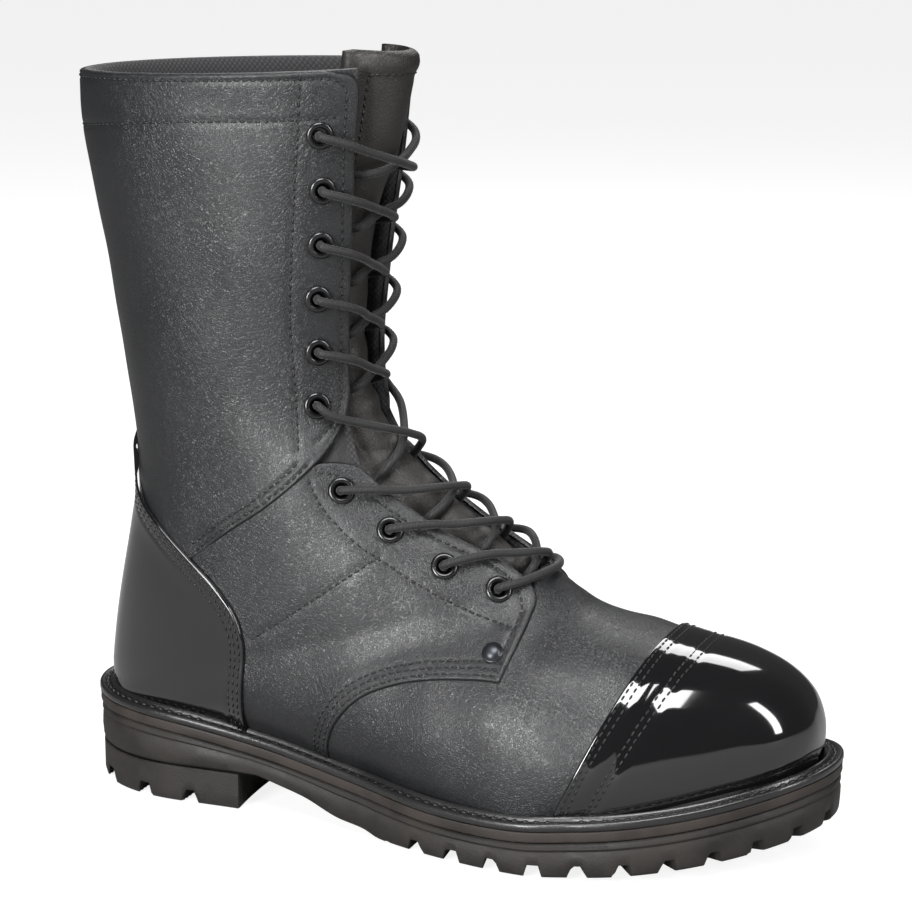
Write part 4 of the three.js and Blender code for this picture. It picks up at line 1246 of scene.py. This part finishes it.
def swept(profile, height):
    """Points of a profile of (inset, rise) round the outline; height gives the level under each point."""
    rings = []
    for inset, rise in profile:
        flat = outline(inset)
        level = height(flat[:, 0]) + rise
        rings.append(np.column_stack([flat, level]))
    return np.stack(rings)


def closed_sweep(name, profile, height):
    rings = swept(profile + profile[:1], height)[:-1]
    count, around = rings.shape[:2]
    faces = grid_faces(count, around, wrap=True)
    faces += [[(count - 1) * around + k, (count - 1) * around + (k + 1) % around, (k + 1) % around, k]
              for k in range(around)]
    panel_faces[name] = (rings.reshape(-1, 3), faces)
    return new_piece(name, rings.reshape(-1, 3), faces, sharp=45)


WELT_THICK, MIDSOLE_THICK, PART_GAP = 3.2, 4.2, 0.4
WELT_PROFILE = [
    (12.4, -0.1), (7.2, -0.05), (6.7, 0.6), (6.1, 1.15), (5.4, 1.3), (4.8, 1.0), (4.45, 0.35),
    (4.1, -0.35), (3.2, -0.6), (2.3, -0.35), (1.7, 0.0), (0.9, 0.02), (0.35, -0.25), (0.05, -0.8),
    (0.0, -2.3), (0.25, -2.9), (0.7, -3.2), (12.4, -3.2),
]
closed_sweep("welt_strip", WELT_PROFILE, welt_top)
WELT_STITCH_PITCH = 4.3
channel = np.column_stack([outline(3.2), welt_top(outline(3.2)[:, 0]) - 0.55])
channel_line = np.vstack([channel, channel[:1]])
sew("welt_stitching", "welt_strip", [channel_line], pitch=WELT_STITCH_PITCH, thread=1.7)
MIDSOLE_PROFILE = [
    (0.9, 0.0), (0.45, -0.25), (0.3, -0.8), (0.45, -2.1), (0.3, -3.4),
    (0.5, -4.0), (0.9, -4.2), (30.0, -4.2), (30.0, 0.0),
]


def midsole_top(x):
    return welt_top(x) - WELT_THICK - PART_GAP * 0.4


closed_sweep("midsole_layer", MIDSOLE_PROFILE, midsole_top)
print("welt stitches are", WELT_STITCH_PITCH, "mm apart")

# %% [markdown]
# ## The lugged outsole
#
# The outsole is moulded rubber. Its wall is cut by notches between the lugs, and its tread has a ring of edge
# lugs round bars across the middle, with a smooth waist under the arch. The underside is a height for each
# point: the ground line, raised where the mould leaves a groove. The steps between them are steep, not
# upright, because a rubber part has to come out of its mould.

# %% Cut the lugs
BALL_START = 150
SHANK_UNDER = [[86, 15], [96, 12.5], [108, 9.5], [122, 4.5], [135, 2.5], [142, 0.4], [BALL_START, 0]]
GROUND_RISE, TREAD_START = 16, 205
LUG_PITCH, NOTCH_WIDTH, LUG_DEPTH = 17.0, 4.6, 5.0
FIRST_NOTCH = 154


def ground(x):
    return GROUND_RISE * np.clip((x - TREAD_START) / (SOLE_LENGTH - TREAD_START), 0, 1) ** 1.8


def under_sole(x):
    x = np.asarray(x, float)
    behind_ball = np.where(x < BALL_START, table(SHANK_UNDER, x), ground(x))
    return np.where(x < SHANK_UNDER[0][0], SHANK_UNDER[0][1], behind_ball)


def step_up(value, centre, width, slope=0.9):
    """1 inside a band round a centre, 0 outside, with steep sides."""
    return np.clip((width / 2 + slope - np.abs(value - centre)) / slope, 0, 1)


outer_outline = outline(1.2)
walk = np.concatenate([[0], np.cumsum(np.linalg.norm(np.diff(outer_outline, axis=0), axis=1))])
toe_walk = walk[OUTLINE_STEPS - 1]
from_toe = np.abs(walk - toe_walk)


def notch_depth(inset, x):
    """How far the mould cuts up into the tread, for one ring of points."""
    lug = (from_toe + LUG_PITCH / 2) % LUG_PITCH
    narrow = NOTCH_WIDTH - 0.05 * np.minimum(inset, 16)
    edge_notch = step_up(lug, 0, narrow) + step_up(lug, LUG_PITCH, narrow)
    ring = step_up(inset, 19.5, 3.5)
    bar = (x - FIRST_NOTCH + 6) % LUG_PITCH
    cross = step_up(bar, 0, NOTCH_WIDTH) + step_up(bar, LUG_PITCH, NOTCH_WIDTH)
    inner = np.where(inset > 19.5, np.maximum(ring, cross), np.maximum(ring, edge_notch))
    forefoot = np.clip((x - 146) / 2.5, 0, 1)
    return LUG_DEPTH * np.clip(inner, 0, 1) * forefoot


wall_levels = [(1.6, 0.0), (0.9, 0.06), (0.75, 0.16), (1.5, 0.24), (0.9, 0.34), (0.7, 0.6), (1.0, 0.86)]
tread_insets = [1.35, 2.1] + list(np.arange(3.4, 34.2, 1.25))
rings = []
top_level = welt_top(outline(1.2)[:, 0]) - WELT_THICK - MIDSOLE_THICK - 2 * PART_GAP
for inset, share in wall_levels:
    flat = outline(inset)
    base = under_sole(flat[:, 0])
    bottom = base + notch_depth(0, flat[:, 0]) * (share > 0.5)
    rings.append(np.column_stack([flat, top_level * (1 - share) + bottom * share + 0 * base]))
for inset in tread_insets:
    flat = outline(inset)
    chamfer = 1.0 if inset < 1.5 else (0.3 if inset < 2.5 else 0)
    height = under_sole(flat[:, 0]) + np.maximum(notch_depth(inset, flat[:, 0]), chamfer)
    rings.append(np.column_stack([flat, height]))
rings = np.stack(rings)
count, around = rings.shape[:2]
faces = grid_faces(count, around, wrap=True)


def bridge(start, flip=False):
    """Closes a long thin ring across its middle."""
    made = []
    for k in range(OUTLINE_STEPS - 1):
        a, b = k, k + 1
        c, d = (around - b) % around, (around - a) % around
        corners = [start + i for i in (a, b, c, d)]
        corners = list(dict.fromkeys(corners))
        if len(corners) > 2:
            made.append(corners[::-1] if flip else corners)
    return made


outsole = new_piece(
    "outsole_lugged", rings.reshape(-1, 3), faces + bridge((count - 1) * around) + bridge(0, True), sharp=32,
)
print("outsole faces", len(outsole.data.polygons))

# %% [markdown]
# The heel is a block of the same rubber, with an upright front, called the breast, and its own notches.

# %% Mould the heel
BREAST_X, HEEL_INSET, HEEL_HEIGHT = 78, 1.2, 14.6
HEEL_CENTRE = np.array([42.0, float(table(SOLE_MIDDLE, 42))])


def heel_outline():
    q = np.linspace(0, 1, 90)
    x = HEEL_INSET + (BREAST_X - HEEL_INSET) * (1 - np.cos(math.pi / 2 * q))
    x = np.minimum(x, BREAST_X - 0.01)
    reach = half_width(x, HEEL_INSET)
    middle = table(SOLE_MIDDLE, x)
    outer, inner = np.stack([x, middle - reach], -1), np.stack([x, middle + reach], -1)
    y = np.linspace(outer[-1, 1], inner[-1, 1], 50)[1:-1]
    breast = np.stack([BREAST_X - 2.5 * (1 - (2 * (y - y.min()) / np.ptp(y) - 1) ** 2), y], -1)
    loop = np.vstack([outer, breast, inner[::-1][:-1]])
    return even_steps(np.vstack([loop, loop[:1]]), 241)[:-1]


heel_loop = heel_outline()


def heel_ring(share, level):
    flat = HEEL_CENTRE + (heel_loop - HEEL_CENTRE) * share
    return np.column_stack([flat, np.broadcast_to(level, len(flat))])


def heel_notch(share):
    flat = HEEL_CENTRE + (heel_loop - HEEL_CENTRE) * share
    cut = np.zeros(len(flat))
    for x in (14, 35, 56):
        cut = np.maximum(cut, step_up(flat[:, 0], x, NOTCH_WIDTH) * (np.abs(flat[:, 1]) > 9))
    cut = np.maximum(cut, step_up(flat[:, 1], HEEL_CENTRE[1], NOTCH_WIDTH) * (flat[:, 0] < 22))
    return LUG_DEPTH * cut * step_up(share, 0.85, 0.42, 0.06)


heel_rings = [heel_ring(0.985, HEEL_HEIGHT), heel_ring(1.0, HEEL_HEIGHT - 0.5)]
for share in (0.3, 0.6, 0.88):
    heel_rings.append(heel_ring(1.0, (HEEL_HEIGHT - 0.5) * (1 - share) + (heel_notch(1.0) + 0.9) * share))
for share in [0.985, 0.965] + list(np.linspace(0.93, 0.06, 26)):
    heel_rings.append(heel_ring(share, heel_notch(share) + (0.25 if share > 0.97 else 0)))
heel_rings = np.stack(heel_rings)
count, around = heel_rings.shape[:2]
faces = grid_faces(count, around, wrap=True)
faces += [list(range(around)), list(range((count - 1) * around, count * around))[::-1]]
heel = new_piece("heel_lugged", heel_rings.reshape(-1, 3), faces, sharp=32)
print("heel faces", len(heel.data.polygons))

# %% [markdown]
# ## Shared surface effects
#
# Leather, rubber and cloth differ most in their small relief and in how evenly they shine. Four effects are
# used by more than one finish, so each is a node group with named inputs: a leather grain, a soft unevenness
# of tone and shine, a rubber skin, and a knitted weave. They use object coordinates, because the panels have
# no maps and their grain should run on from one piece to the next.

# %% Build node groups
def new_group(name, inputs, outputs):
    group = bpy.data.node_groups.new(name, "ShaderNodeTree")
    for label, kind, value in inputs:
        socket = group.interface.new_socket(name=label, in_out="INPUT", socket_type=kind)
        socket.default_value = value
    for label, kind in outputs:
        group.interface.new_socket(name=label, in_out="OUTPUT", socket_type=kind)
    return group, group.nodes.new("NodeGroupInput"), group.nodes.new("NodeGroupOutput")


def node(tree, kind, links=(), **settings):
    """Adds a node; links are (input name or number, value or output socket)."""
    made = tree.nodes.new(kind)
    for key, value in settings.items():
        setattr(made, key, value)
    for key, value in dict(links).items():
        if isinstance(value, bpy.types.NodeSocket):
            tree.links.new(value, made.inputs[key])
        else:
            made.inputs[key].default_value = value
    return made


def math_node(tree, operation, first, second=0.5, clamp=False):
    made = node(tree, "ShaderNodeMath", {0: first, 1: second}, operation=operation, use_clamp=clamp)
    return made.outputs[0]


def spread(tree, value, low, high, start=0.0, end=1.0):
    """Stretches the part of a value between low and high to run from start to end."""
    return node(tree, "ShaderNodeMapRange", {0: value, 1: low, 2: high, 3: start, 4: end}).outputs[0]


def noise(tree, where, scale, detail):
    """A noise of one scale, as the value of its Fac socket."""
    made = node(tree, "ShaderNodeTexNoise", {"Vector": where, "Scale": scale, "Detail": detail})
    return made.outputs["Fac"]


FLOAT = "NodeSocketFloat"

# %% [markdown]
# Full-grain leather has shallow rounded cells with fine lines between them, and scattered pores. Two cell
# patterns of different sizes give the lines, and a stretched noise bends them so that they never look like
# tiles.

# %% Group: leather grain
grain, given, result = new_group(
    "leather_grain", [("Cell Size", FLOAT, 900.0), ("Pore Share", FLOAT, 0.3)],
    [("Height", FLOAT), ("Lines", FLOAT)],
)
where = node(grain, "ShaderNodeTexCoord").outputs["Object"]
bend = node(grain, "ShaderNodeTexNoise", {"Vector": where, "Scale": 260.0, "Detail": 2.0})
BEND_REACH = (0.0022, 0.0022, 0.0022)
moved = node(grain, "ShaderNodeVectorMath", {0: bend.outputs["Color"], 1: BEND_REACH}, operation="MULTIPLY")
shifted = node(grain, "ShaderNodeVectorMath", {0: where, 1: moved.outputs[0]}, operation="ADD").outputs[0]


def cell_edges(scale):
    links = {"Vector": shifted, "Scale": scale}
    return node(grain, "ShaderNodeTexVoronoi", links, feature="DISTANCE_TO_EDGE").outputs["Distance"]


half_size = math_node(grain, "MULTIPLY", given.outputs["Cell Size"], 0.42)
fine_lines = spread(grain, cell_edges(given.outputs["Cell Size"]), 0.0, 0.16)
large_lines = spread(grain, cell_edges(half_size), 0.0, 0.1)
pores = node(grain, "ShaderNodeTexNoise", {"Vector": where, "Scale": 2300.0, "Detail": 1.0}).outputs["Fac"]
pore_height = math_node(grain, "MULTIPLY", pores, given.outputs["Pore Share"])
lines = math_node(grain, "MULTIPLY", fine_lines, large_lines)
grain.links.new(math_node(grain, "ADD", lines, pore_height), result.inputs["Height"])
grain.links.new(math_node(grain, "SUBTRACT", 1.0, lines), result.inputs["Lines"])
print("group", grain.name)

# %% [markdown]
# Polish never lies quite evenly, and handling leaves faint cloudy marks. This group turns slow and fine noise
# into one value for tone and one for shine.

# %% Group: uneven polish
polish, given, result = new_group(
    "uneven_polish", [("Patch Size", FLOAT, 28.0), ("Streaks", FLOAT, 0.25)],
    [("Tone", FLOAT), ("Shine", FLOAT)],
)
where = node(polish, "ShaderNodeTexCoord").outputs["Object"]
clouds = noise(polish, where, given.outputs["Patch Size"], 5.0)
stretched_by = node(polish, "ShaderNodeMapping", {"Vector": where, "Scale": (1.0, 1.0, 0.25)}).outputs[0]
streaks = noise(polish, stretched_by, 210.0, 6.0)
even = math_node(polish, "SUBTRACT", streaks, 0.5)
streak_part = math_node(polish, "MULTIPLY", even, given.outputs["Streaks"])
polish.links.new(clouds, result.inputs["Tone"])
polish.links.new(math_node(polish, "ADD", clouds, streak_part), result.inputs["Shine"])
print("group", polish.name)

# %% [markdown]
# Moulded rubber is matt and slightly pitted, with a dusty bloom in its hollows.

# %% Group: rubber skin
rubber_skin, given, result = new_group(
    "rubber_skin", [("Pit Size", FLOAT, 1400.0)], [("Height", FLOAT), ("Bloom", FLOAT)],
)
where = node(rubber_skin, "ShaderNodeTexCoord").outputs["Object"]
pits = noise(rubber_skin, where, given.outputs["Pit Size"], 3.0)
broad = noise(rubber_skin, where, 60.0, 6.0)
specks = node(rubber_skin, "ShaderNodeTexVoronoi", {"Vector": where, "Scale": 700.0}).outputs["Distance"]
speck_part = math_node(rubber_skin, "MULTIPLY", specks, 0.3)
rubber_skin.links.new(math_node(rubber_skin, "ADD", pits, speck_part), result.inputs["Height"])
rubber_skin.links.new(spread(rubber_skin, broad, 0.35, 0.7), result.inputs["Bloom"])
print("group", rubber_skin.name)

# %% [markdown]
# The lining, the footbed's cover, the lace and the sewing thread are all textile. Crossed waves in three
# directions make an even over-and-under pattern that has no seam.

# %% Group: textile
textile, given, result = new_group(
    "textile", [("Yarn Count", FLOAT, 2600.0)], [("Height", FLOAT), ("Gap", FLOAT)],
)
where = node(textile, "ShaderNodeTexCoord").outputs["Object"]
axes = node(textile, "ShaderNodeSeparateXYZ", {0: where}).outputs
diagonal = math_node(textile, "ADD", axes[0], axes[1])
first = math_node(textile, "SINE", math_node(textile, "MULTIPLY", diagonal, given.outputs["Yarn Count"]))
second = math_node(textile, "SINE", math_node(textile, "MULTIPLY", axes[2], given.outputs["Yarn Count"]))
woven = math_node(textile, "MULTIPLY", first, second)
fuzz = node(textile, "ShaderNodeTexNoise", {"Vector": where, "Scale": 3000.0, "Detail": 2.0}).outputs["Fac"]
height = math_node(textile, "ADD", math_node(textile, "MULTIPLY", woven, 0.5), fuzz)
textile.links.new(height, result.inputs["Height"])
textile.links.new(spread(textile, woven, -1.0, 0.2, 1.0, 0.0), result.inputs["Gap"])
print("group", textile.name)

# %% [markdown]
# ## Finishes
#
# Every finish has the same frame: two colours mixed by a tone, a roughness that moves between two values, and
# a bump of a stated height. What differs is which group drives them, and the shine, coat and sheen, which are
# plain constants on the shader.

# %% Mix a finish
def finish(name, dark, light, tone, rough, shine, height, strength, distance, **constants):
    material = bpy.data.materials.new(name)
    material.use_nodes = True
    tree = material.node_tree
    shader = tree.nodes["Principled BSDF"]
    groups = {}

    def from_group(group_name, output, **values):
        key = (group_name, tuple(sorted(values.items())))
        if key not in groups:
            placed = tree.nodes.new("ShaderNodeGroup")
            placed.node_tree = bpy.data.node_groups[group_name]
            for label, value in values.items():
                placed.inputs[label.replace("_", " ")].default_value = value
            groups[key] = placed
        return groups[key].outputs[output]

    tone_value = from_group(*tone[0], **tone[1])
    mixed = node(tree, "ShaderNodeMix", data_type="RGBA")
    tree.links.new(tone_value, mixed.inputs[0])
    mixed.inputs[6].default_value = (*dark, 1)
    mixed.inputs[7].default_value = (*light, 1)
    tree.links.new(mixed.outputs[2], shader.inputs["Base Color"])
    shine_value = from_group(*shine[0], **shine[1])
    roughness = node(tree, "ShaderNodeMapRange", {0: shine_value, 1: 0.25, 2: 0.75, 3: rough[0], 4: rough[1]})
    tree.links.new(roughness.outputs[0], shader.inputs["Roughness"])
    height_value = from_group(*height[0], **height[1])
    bump = node(tree, "ShaderNodeBump", {"Height": height_value, "Strength": strength, "Distance": distance})
    tree.links.new(bump.outputs[0], shader.inputs["Normal"])
    for label, value in constants.items():
        shader.inputs[label.replace("_", " ")].default_value = value
    return material


POLISH_TONE = (("uneven_polish", "Tone"), {"Patch_Size": 28.0})
POLISH_SHINE = (("uneven_polish", "Shine"), {"Patch_Size": 28.0})


def leather_height(cell, pores=0.3):
    return (("leather_grain", "Height"), {"Cell_Size": cell, "Pore_Share": pores})


def textile_height(count):
    return (("textile", "Height"), {"Yarn_Count": count})


def textile_gap(count):
    return (("textile", "Gap"), {"Yarn_Count": count})


RUBBER_HEIGHT = (("rubber_skin", "Height"), {"Pit_Size": 1400.0})
RUBBER_BLOOM = (("rubber_skin", "Bloom"), {"Pit_Size": 1400.0})

# %% [markdown]
# The shaft, quarters and vamp are a polished full-grain leather: nearly black, satin, with fine grain. The
# counter and the cap have a poured patent finish: a smooth coat over the same black, mirror bright. The
# tongue is softer, browner and duller.

# %% Leathers
black_leather = finish(
    "black_full_grain_leather", (0.0075, 0.0078, 0.0085), (0.0135, 0.014, 0.0155), POLISH_TONE, (0.3, 0.44),
    POLISH_SHINE, leather_height(1150.0), 0.5, 0.00016,
    Specular_IOR_Level=0.5, Coat_Weight=0.1, Coat_Roughness=0.3,
)
patent_leather = finish(
    "black_patent_leather", (0.0035, 0.0035, 0.004), (0.006, 0.006, 0.0065), POLISH_TONE, (0.07, 0.12),
    POLISH_SHINE, leather_height(420.0, 0.1), 0.04, 0.00002,
    Specular_IOR_Level=0.5, Coat_Weight=1.0, Coat_Roughness=0.03,
)
tongue_leather = finish(
    "soft_tongue_leather", (0.011, 0.0095, 0.0085), (0.021, 0.0185, 0.017), POLISH_TONE, (0.42, 0.58),
    POLISH_SHINE, leather_height(800.0), 0.5, 0.00016, Specular_IOR_Level=0.45,
)
welt_leather = finish(
    "black_welt_leather", (0.006, 0.006, 0.0065), (0.014, 0.013, 0.013), POLISH_TONE, (0.22, 0.4),
    POLISH_SHINE, leather_height(700.0), 0.3, 0.0001, Coat_Weight=0.4, Coat_Roughness=0.2,
)
print("leathers", 4)

# %% [markdown]
# The outsole is a soft black-brown rubber, and the midsole a slightly lighter, browner one with a trimmed
# edge.

# %% Rubbers
sole_rubber = finish(
    "lug_sole_rubber", (0.0105, 0.0088, 0.0078), (0.021, 0.0175, 0.0155), RUBBER_BLOOM, (0.5, 0.72),
    RUBBER_BLOOM, RUBBER_HEIGHT, 0.5, 0.00022, Specular_IOR_Level=0.4,
)
midsole_rubber = finish(
    "midsole_rubber", (0.016, 0.0125, 0.0105), (0.032, 0.025, 0.021), RUBBER_BLOOM, (0.5, 0.7),
    RUBBER_BLOOM, RUBBER_HEIGHT, 0.45, 0.0002, Specular_IOR_Level=0.4,
)

# %% [markdown]
# Textiles: a matt braided lace, bonded nylon thread with a slight gloss, a dark knitted lining and a looped
# footbed cover. A little sheen on the lace and the lining stands for the fine hairs of their yarn.

# %% Textiles
lace_fabric = finish(
    "braided_lace", (0.0065, 0.0065, 0.0068), (0.019, 0.019, 0.0195), textile_gap(4200.0), (0.6, 0.8),
    textile_height(4200.0), textile_height(4200.0), 0.5, 0.00015, Sheen_Weight=0.15, Sheen_Roughness=0.4,
)
thread = finish(
    "bonded_thread", (0.003, 0.003, 0.003), (0.009, 0.009, 0.009), textile_gap(6000.0), (0.42, 0.6),
    textile_height(6000.0), textile_height(6000.0), 0.4, 0.0001,
)
lining_fabric = finish(
    "knitted_lining", (0.014, 0.014, 0.015), (0.034, 0.034, 0.037), textile_gap(2600.0), (0.8, 0.95),
    textile_height(2600.0), textile_height(2600.0), 0.6, 0.0003, Sheen_Weight=0.2, Sheen_Roughness=0.5,
)
footbed_fabric = finish(
    "footbed_cover", (0.02, 0.021, 0.024), (0.05, 0.052, 0.058), textile_gap(1900.0), (0.8, 0.95),
    textile_height(1900.0), textile_height(1900.0), 0.7, 0.0004, Sheen_Weight=0.15, Sheen_Roughness=0.5,
)

# %% [markdown]
# The metal is brass under black lacquer, so it shines like paint, not like bare metal. The rivet's lacquer is
# thinner and greyer. The parts hidden in the sole have their own plain finishes.

# %% Metal and hidden parts
eyelet_lacquer = finish(
    "black_eyelet_lacquer", (0.006, 0.006, 0.007), (0.012, 0.012, 0.013), POLISH_TONE, (0.2, 0.34),
    POLISH_SHINE, RUBBER_HEIGHT, 0.08, 0.00005, Metallic=0.3, Coat_Weight=0.5, Coat_Roughness=0.12,
)
rivet_lacquer = finish(
    "grey_rivet_lacquer", (0.03, 0.032, 0.036), (0.06, 0.063, 0.07), POLISH_TONE, (0.26, 0.4),
    POLISH_SHINE, RUBBER_HEIGHT, 0.1, 0.00005, Metallic=0.8,
)
tip_plastic = finish(
    "lace_tip_plastic", (0.008, 0.008, 0.008), (0.014, 0.014, 0.014), POLISH_TONE, (0.18, 0.3),
    POLISH_SHINE, textile_height(4200.0), 0.1, 0.00005, Coat_Weight=0.6, Coat_Roughness=0.1,
)
cork = finish(
    "cork_filler", (0.17, 0.1, 0.05), (0.34, 0.21, 0.11), RUBBER_BLOOM, (0.8, 0.95),
    RUBBER_BLOOM, RUBBER_HEIGHT, 0.8, 0.0006,
)
shank_steel = finish(
    "shank_steel", (0.32, 0.33, 0.34), (0.42, 0.43, 0.44), POLISH_TONE, (0.3, 0.45),
    POLISH_SHINE, RUBBER_HEIGHT, 0.1, 0.00005, Metallic=1.0,
)
board = finish(
    "insole_board", (0.3, 0.2, 0.11), (0.4, 0.28, 0.16), POLISH_TONE, (0.75, 0.9), POLISH_SHINE,
    leather_height(500.0), 0.4, 0.0003,
)
stay_leather = finish(
    "black_stay_leather", (0.008, 0.008, 0.0085), (0.016, 0.016, 0.017), POLISH_TONE, (0.6, 0.75),
    POLISH_SHINE, leather_height(700.0), 0.4, 0.0002,
)
stiffener = finish(
    "stiffener_sheet", (0.2, 0.17, 0.13), (0.3, 0.26, 0.2), POLISH_TONE, (0.7, 0.85), POLISH_SHINE,
    textile_height(2600.0), 0.4, 0.0002,
)
print("finishes", len(bpy.data.materials))

# %% [markdown]
# ## Which piece stands for which part
#
# Each piece takes its finish, rides on a body of the boot, and hides the solid part that it stands for. The
# tongue crosses the fold line and stands for both tongue parts, so it rides on no body and is baked in place.


def dress(name, material, *nodes, body="boot"):
    piece = bpy.data.objects[name]
    piece.data.materials.clear()
    piece.data.materials.append(material)
    if body:
        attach(piece, body)
    if nodes:
        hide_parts(*nodes)
    return piece


for label, _ in SIDES:
    dress(f"shaft_{label}_leather", black_leather, f"shaft_{label}")
    dress(f"quarter_{label}_leather", black_leather, f"quarter_{label}")
    dress(f"shaft_{label}_stitching", thread)
    dress(f"quarter_{label}_stitching", thread)
    dress(f"lining_{label}_fabric", lining_fabric, f"lining_{label}")
    dress(f"gusset_{label}_fold", tongue_leather, f"gusset_{label}")
    dress(f"facing_rivet_{label}", rivet_lacquer, f"rivet_{label}")
    dress(f"lace_tip_{label}", tip_plastic, f"aglet_{label}")
for ring, cad_node in eyelets:
    dress(ring.name, eyelet_lacquer, cad_node)
dress("heel_counter_patent", patent_leather, "heel_counter")
dress("heel_counter_stitching", thread)
dress("vamp_leather", black_leather, "vamp")
dress("toe_cap_patent", patent_leather, "toe_cap")
dress("toe_cap_stitching", thread)
dress("backstay_leather", black_leather, "backstay")
dress("backstay_stitching", thread)
dress("boot_lace", lace_fabric, "lace")
dress("welt_strip", welt_leather, "welt")
dress("welt_stitching", thread)
dress("midsole_layer", midsole_rubber, "midsole")
dress("outsole_lugged", sole_rubber, "outsole")
dress("heel_lugged", sole_rubber, "heel_block")

for name, nodes in (("tongue", ("tongue_lower", "tongue_top")), ("tongue_stitching", ())):
    piece = dress(name, tongue_leather if nodes else thread, *nodes, body=None)
    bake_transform(piece)

HIDDEN = {
    "cork_filler": cork, "shank": shank_steel, "insole_board": board, "footbed": footbed_fabric,
    "heel_stiffener": stiffener, "toe_puff": stiffener, "eyelet_stay_lateral": stay_leather,
    "eyelet_stay_medial": stay_leather, "vamp_lining": lining_fabric,
}
for cad_node, material in HIDDEN.items():
    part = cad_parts[cad_node]
    part.data.materials.clear()
    part.data.materials.append(material)

# %% [markdown]
# ## Floor and light
#
# Black leather is drawn by what it reflects, so the lights are soft panels: one above for the shoulder of the
# boot, a broad one low in front of the outer side for the satin sheen, a tall narrow one beyond the toe for
# the bright lines on the patent cap, and one behind for the rim. Floor and backdrop look nearly white, but
# they reflect little, because a white floor mirrored in the leather would turn it grey.

# %% Light the studio
floor_mesh = bpy.data.meshes.new("studio_floor")
FLOOR_HALF = 6.0
BELOW_SOLE = -0.0005
CORNERS = ((-1, -1), (1, -1), (1, 1), (-1, 1))
floor_mesh.from_pydata([(x * FLOOR_HALF, y * FLOOR_HALF, BELOW_SOLE) for x, y in CORNERS], [], [(0, 1, 2, 3)])
floor = bpy.data.objects.new("studio_floor", floor_mesh)
bpy.context.scene.collection.objects.link(floor)
floor_paint = bpy.data.materials.new("studio_floor_paint")
floor_paint.use_nodes = True
FLOOR_GREY, FLOOR_ROUGH, FLOOR_GLOW = 0.3, 0.9, 0.85
paint = floor_paint.node_tree.nodes["Principled BSDF"].inputs
paint["Base Color"].default_value = (FLOOR_GREY, FLOOR_GREY, FLOOR_GREY, 1)
paint["Roughness"].default_value = FLOOR_ROUGH
looked_at = node(floor_paint.node_tree, "ShaderNodeLightPath").outputs["Is Camera Ray"]
glow = spread(floor_paint.node_tree, looked_at, 0.0, 1.0, 0.0, FLOOR_GLOW)
paint["Emission Color"].default_value = (1, 1, 1, 1)
floor_paint.node_tree.links.new(glow, paint["Emission Strength"])
floor.data.materials.append(floor_paint)


def soft_panel(name, size, power, azimuth, elevation, distance):
    """A soft light that faces the boot from a direction, in degrees; azimuth 0 is the outer side."""
    lamp = bpy.data.lights.new(name, "AREA")
    lamp.shape = "RECTANGLE"
    lamp.size, lamp.size_y = size
    lamp.energy = power
    holder = bpy.data.objects.new(name, lamp)
    bpy.context.scene.collection.objects.link(holder)
    turn, lean = math.radians(azimuth), math.radians(elevation)
    toward = Vector((math.sin(turn) * math.cos(lean), -math.cos(turn) * math.cos(lean), math.sin(lean)))
    holder.location = Vector((0, 0, 0.13)) + toward * distance
    holder.rotation_euler = toward.to_track_quat("Z", "Y").to_euler()
    return holder


soft_panel("light_above", (0.9, 0.7), 27, 15, 60, 1.6)
soft_panel("light_front_left", (0.5, 0.8), 32, -12, 12, 1.6)
soft_panel("light_front_right", (0.22, 1.1), 12, 78, 24, 1.5)
soft_panel("light_back", (1.2, 0.6), 12, 190, 42, 1.8)
world = bpy.data.worlds.new("pale_room")
bpy.context.scene.world = world
world.use_nodes = True
room = world.node_tree.nodes["Background"]
room.inputs[0].default_value = (1, 1, 1, 1)
seen = node(world.node_tree, "ShaderNodeLightPath").outputs["Is Camera Ray"]
BACKDROP, ROOM_LIGHT = 1.0, 0.07
strength = spread(world.node_tree, seen, 0.0, 1.0, ROOM_LIGHT, BACKDROP)
world.node_tree.links.new(strength, room.inputs[1])
bpy.context.scene.view_settings.view_transform = "Standard"
print("lights", len(bpy.data.lights))
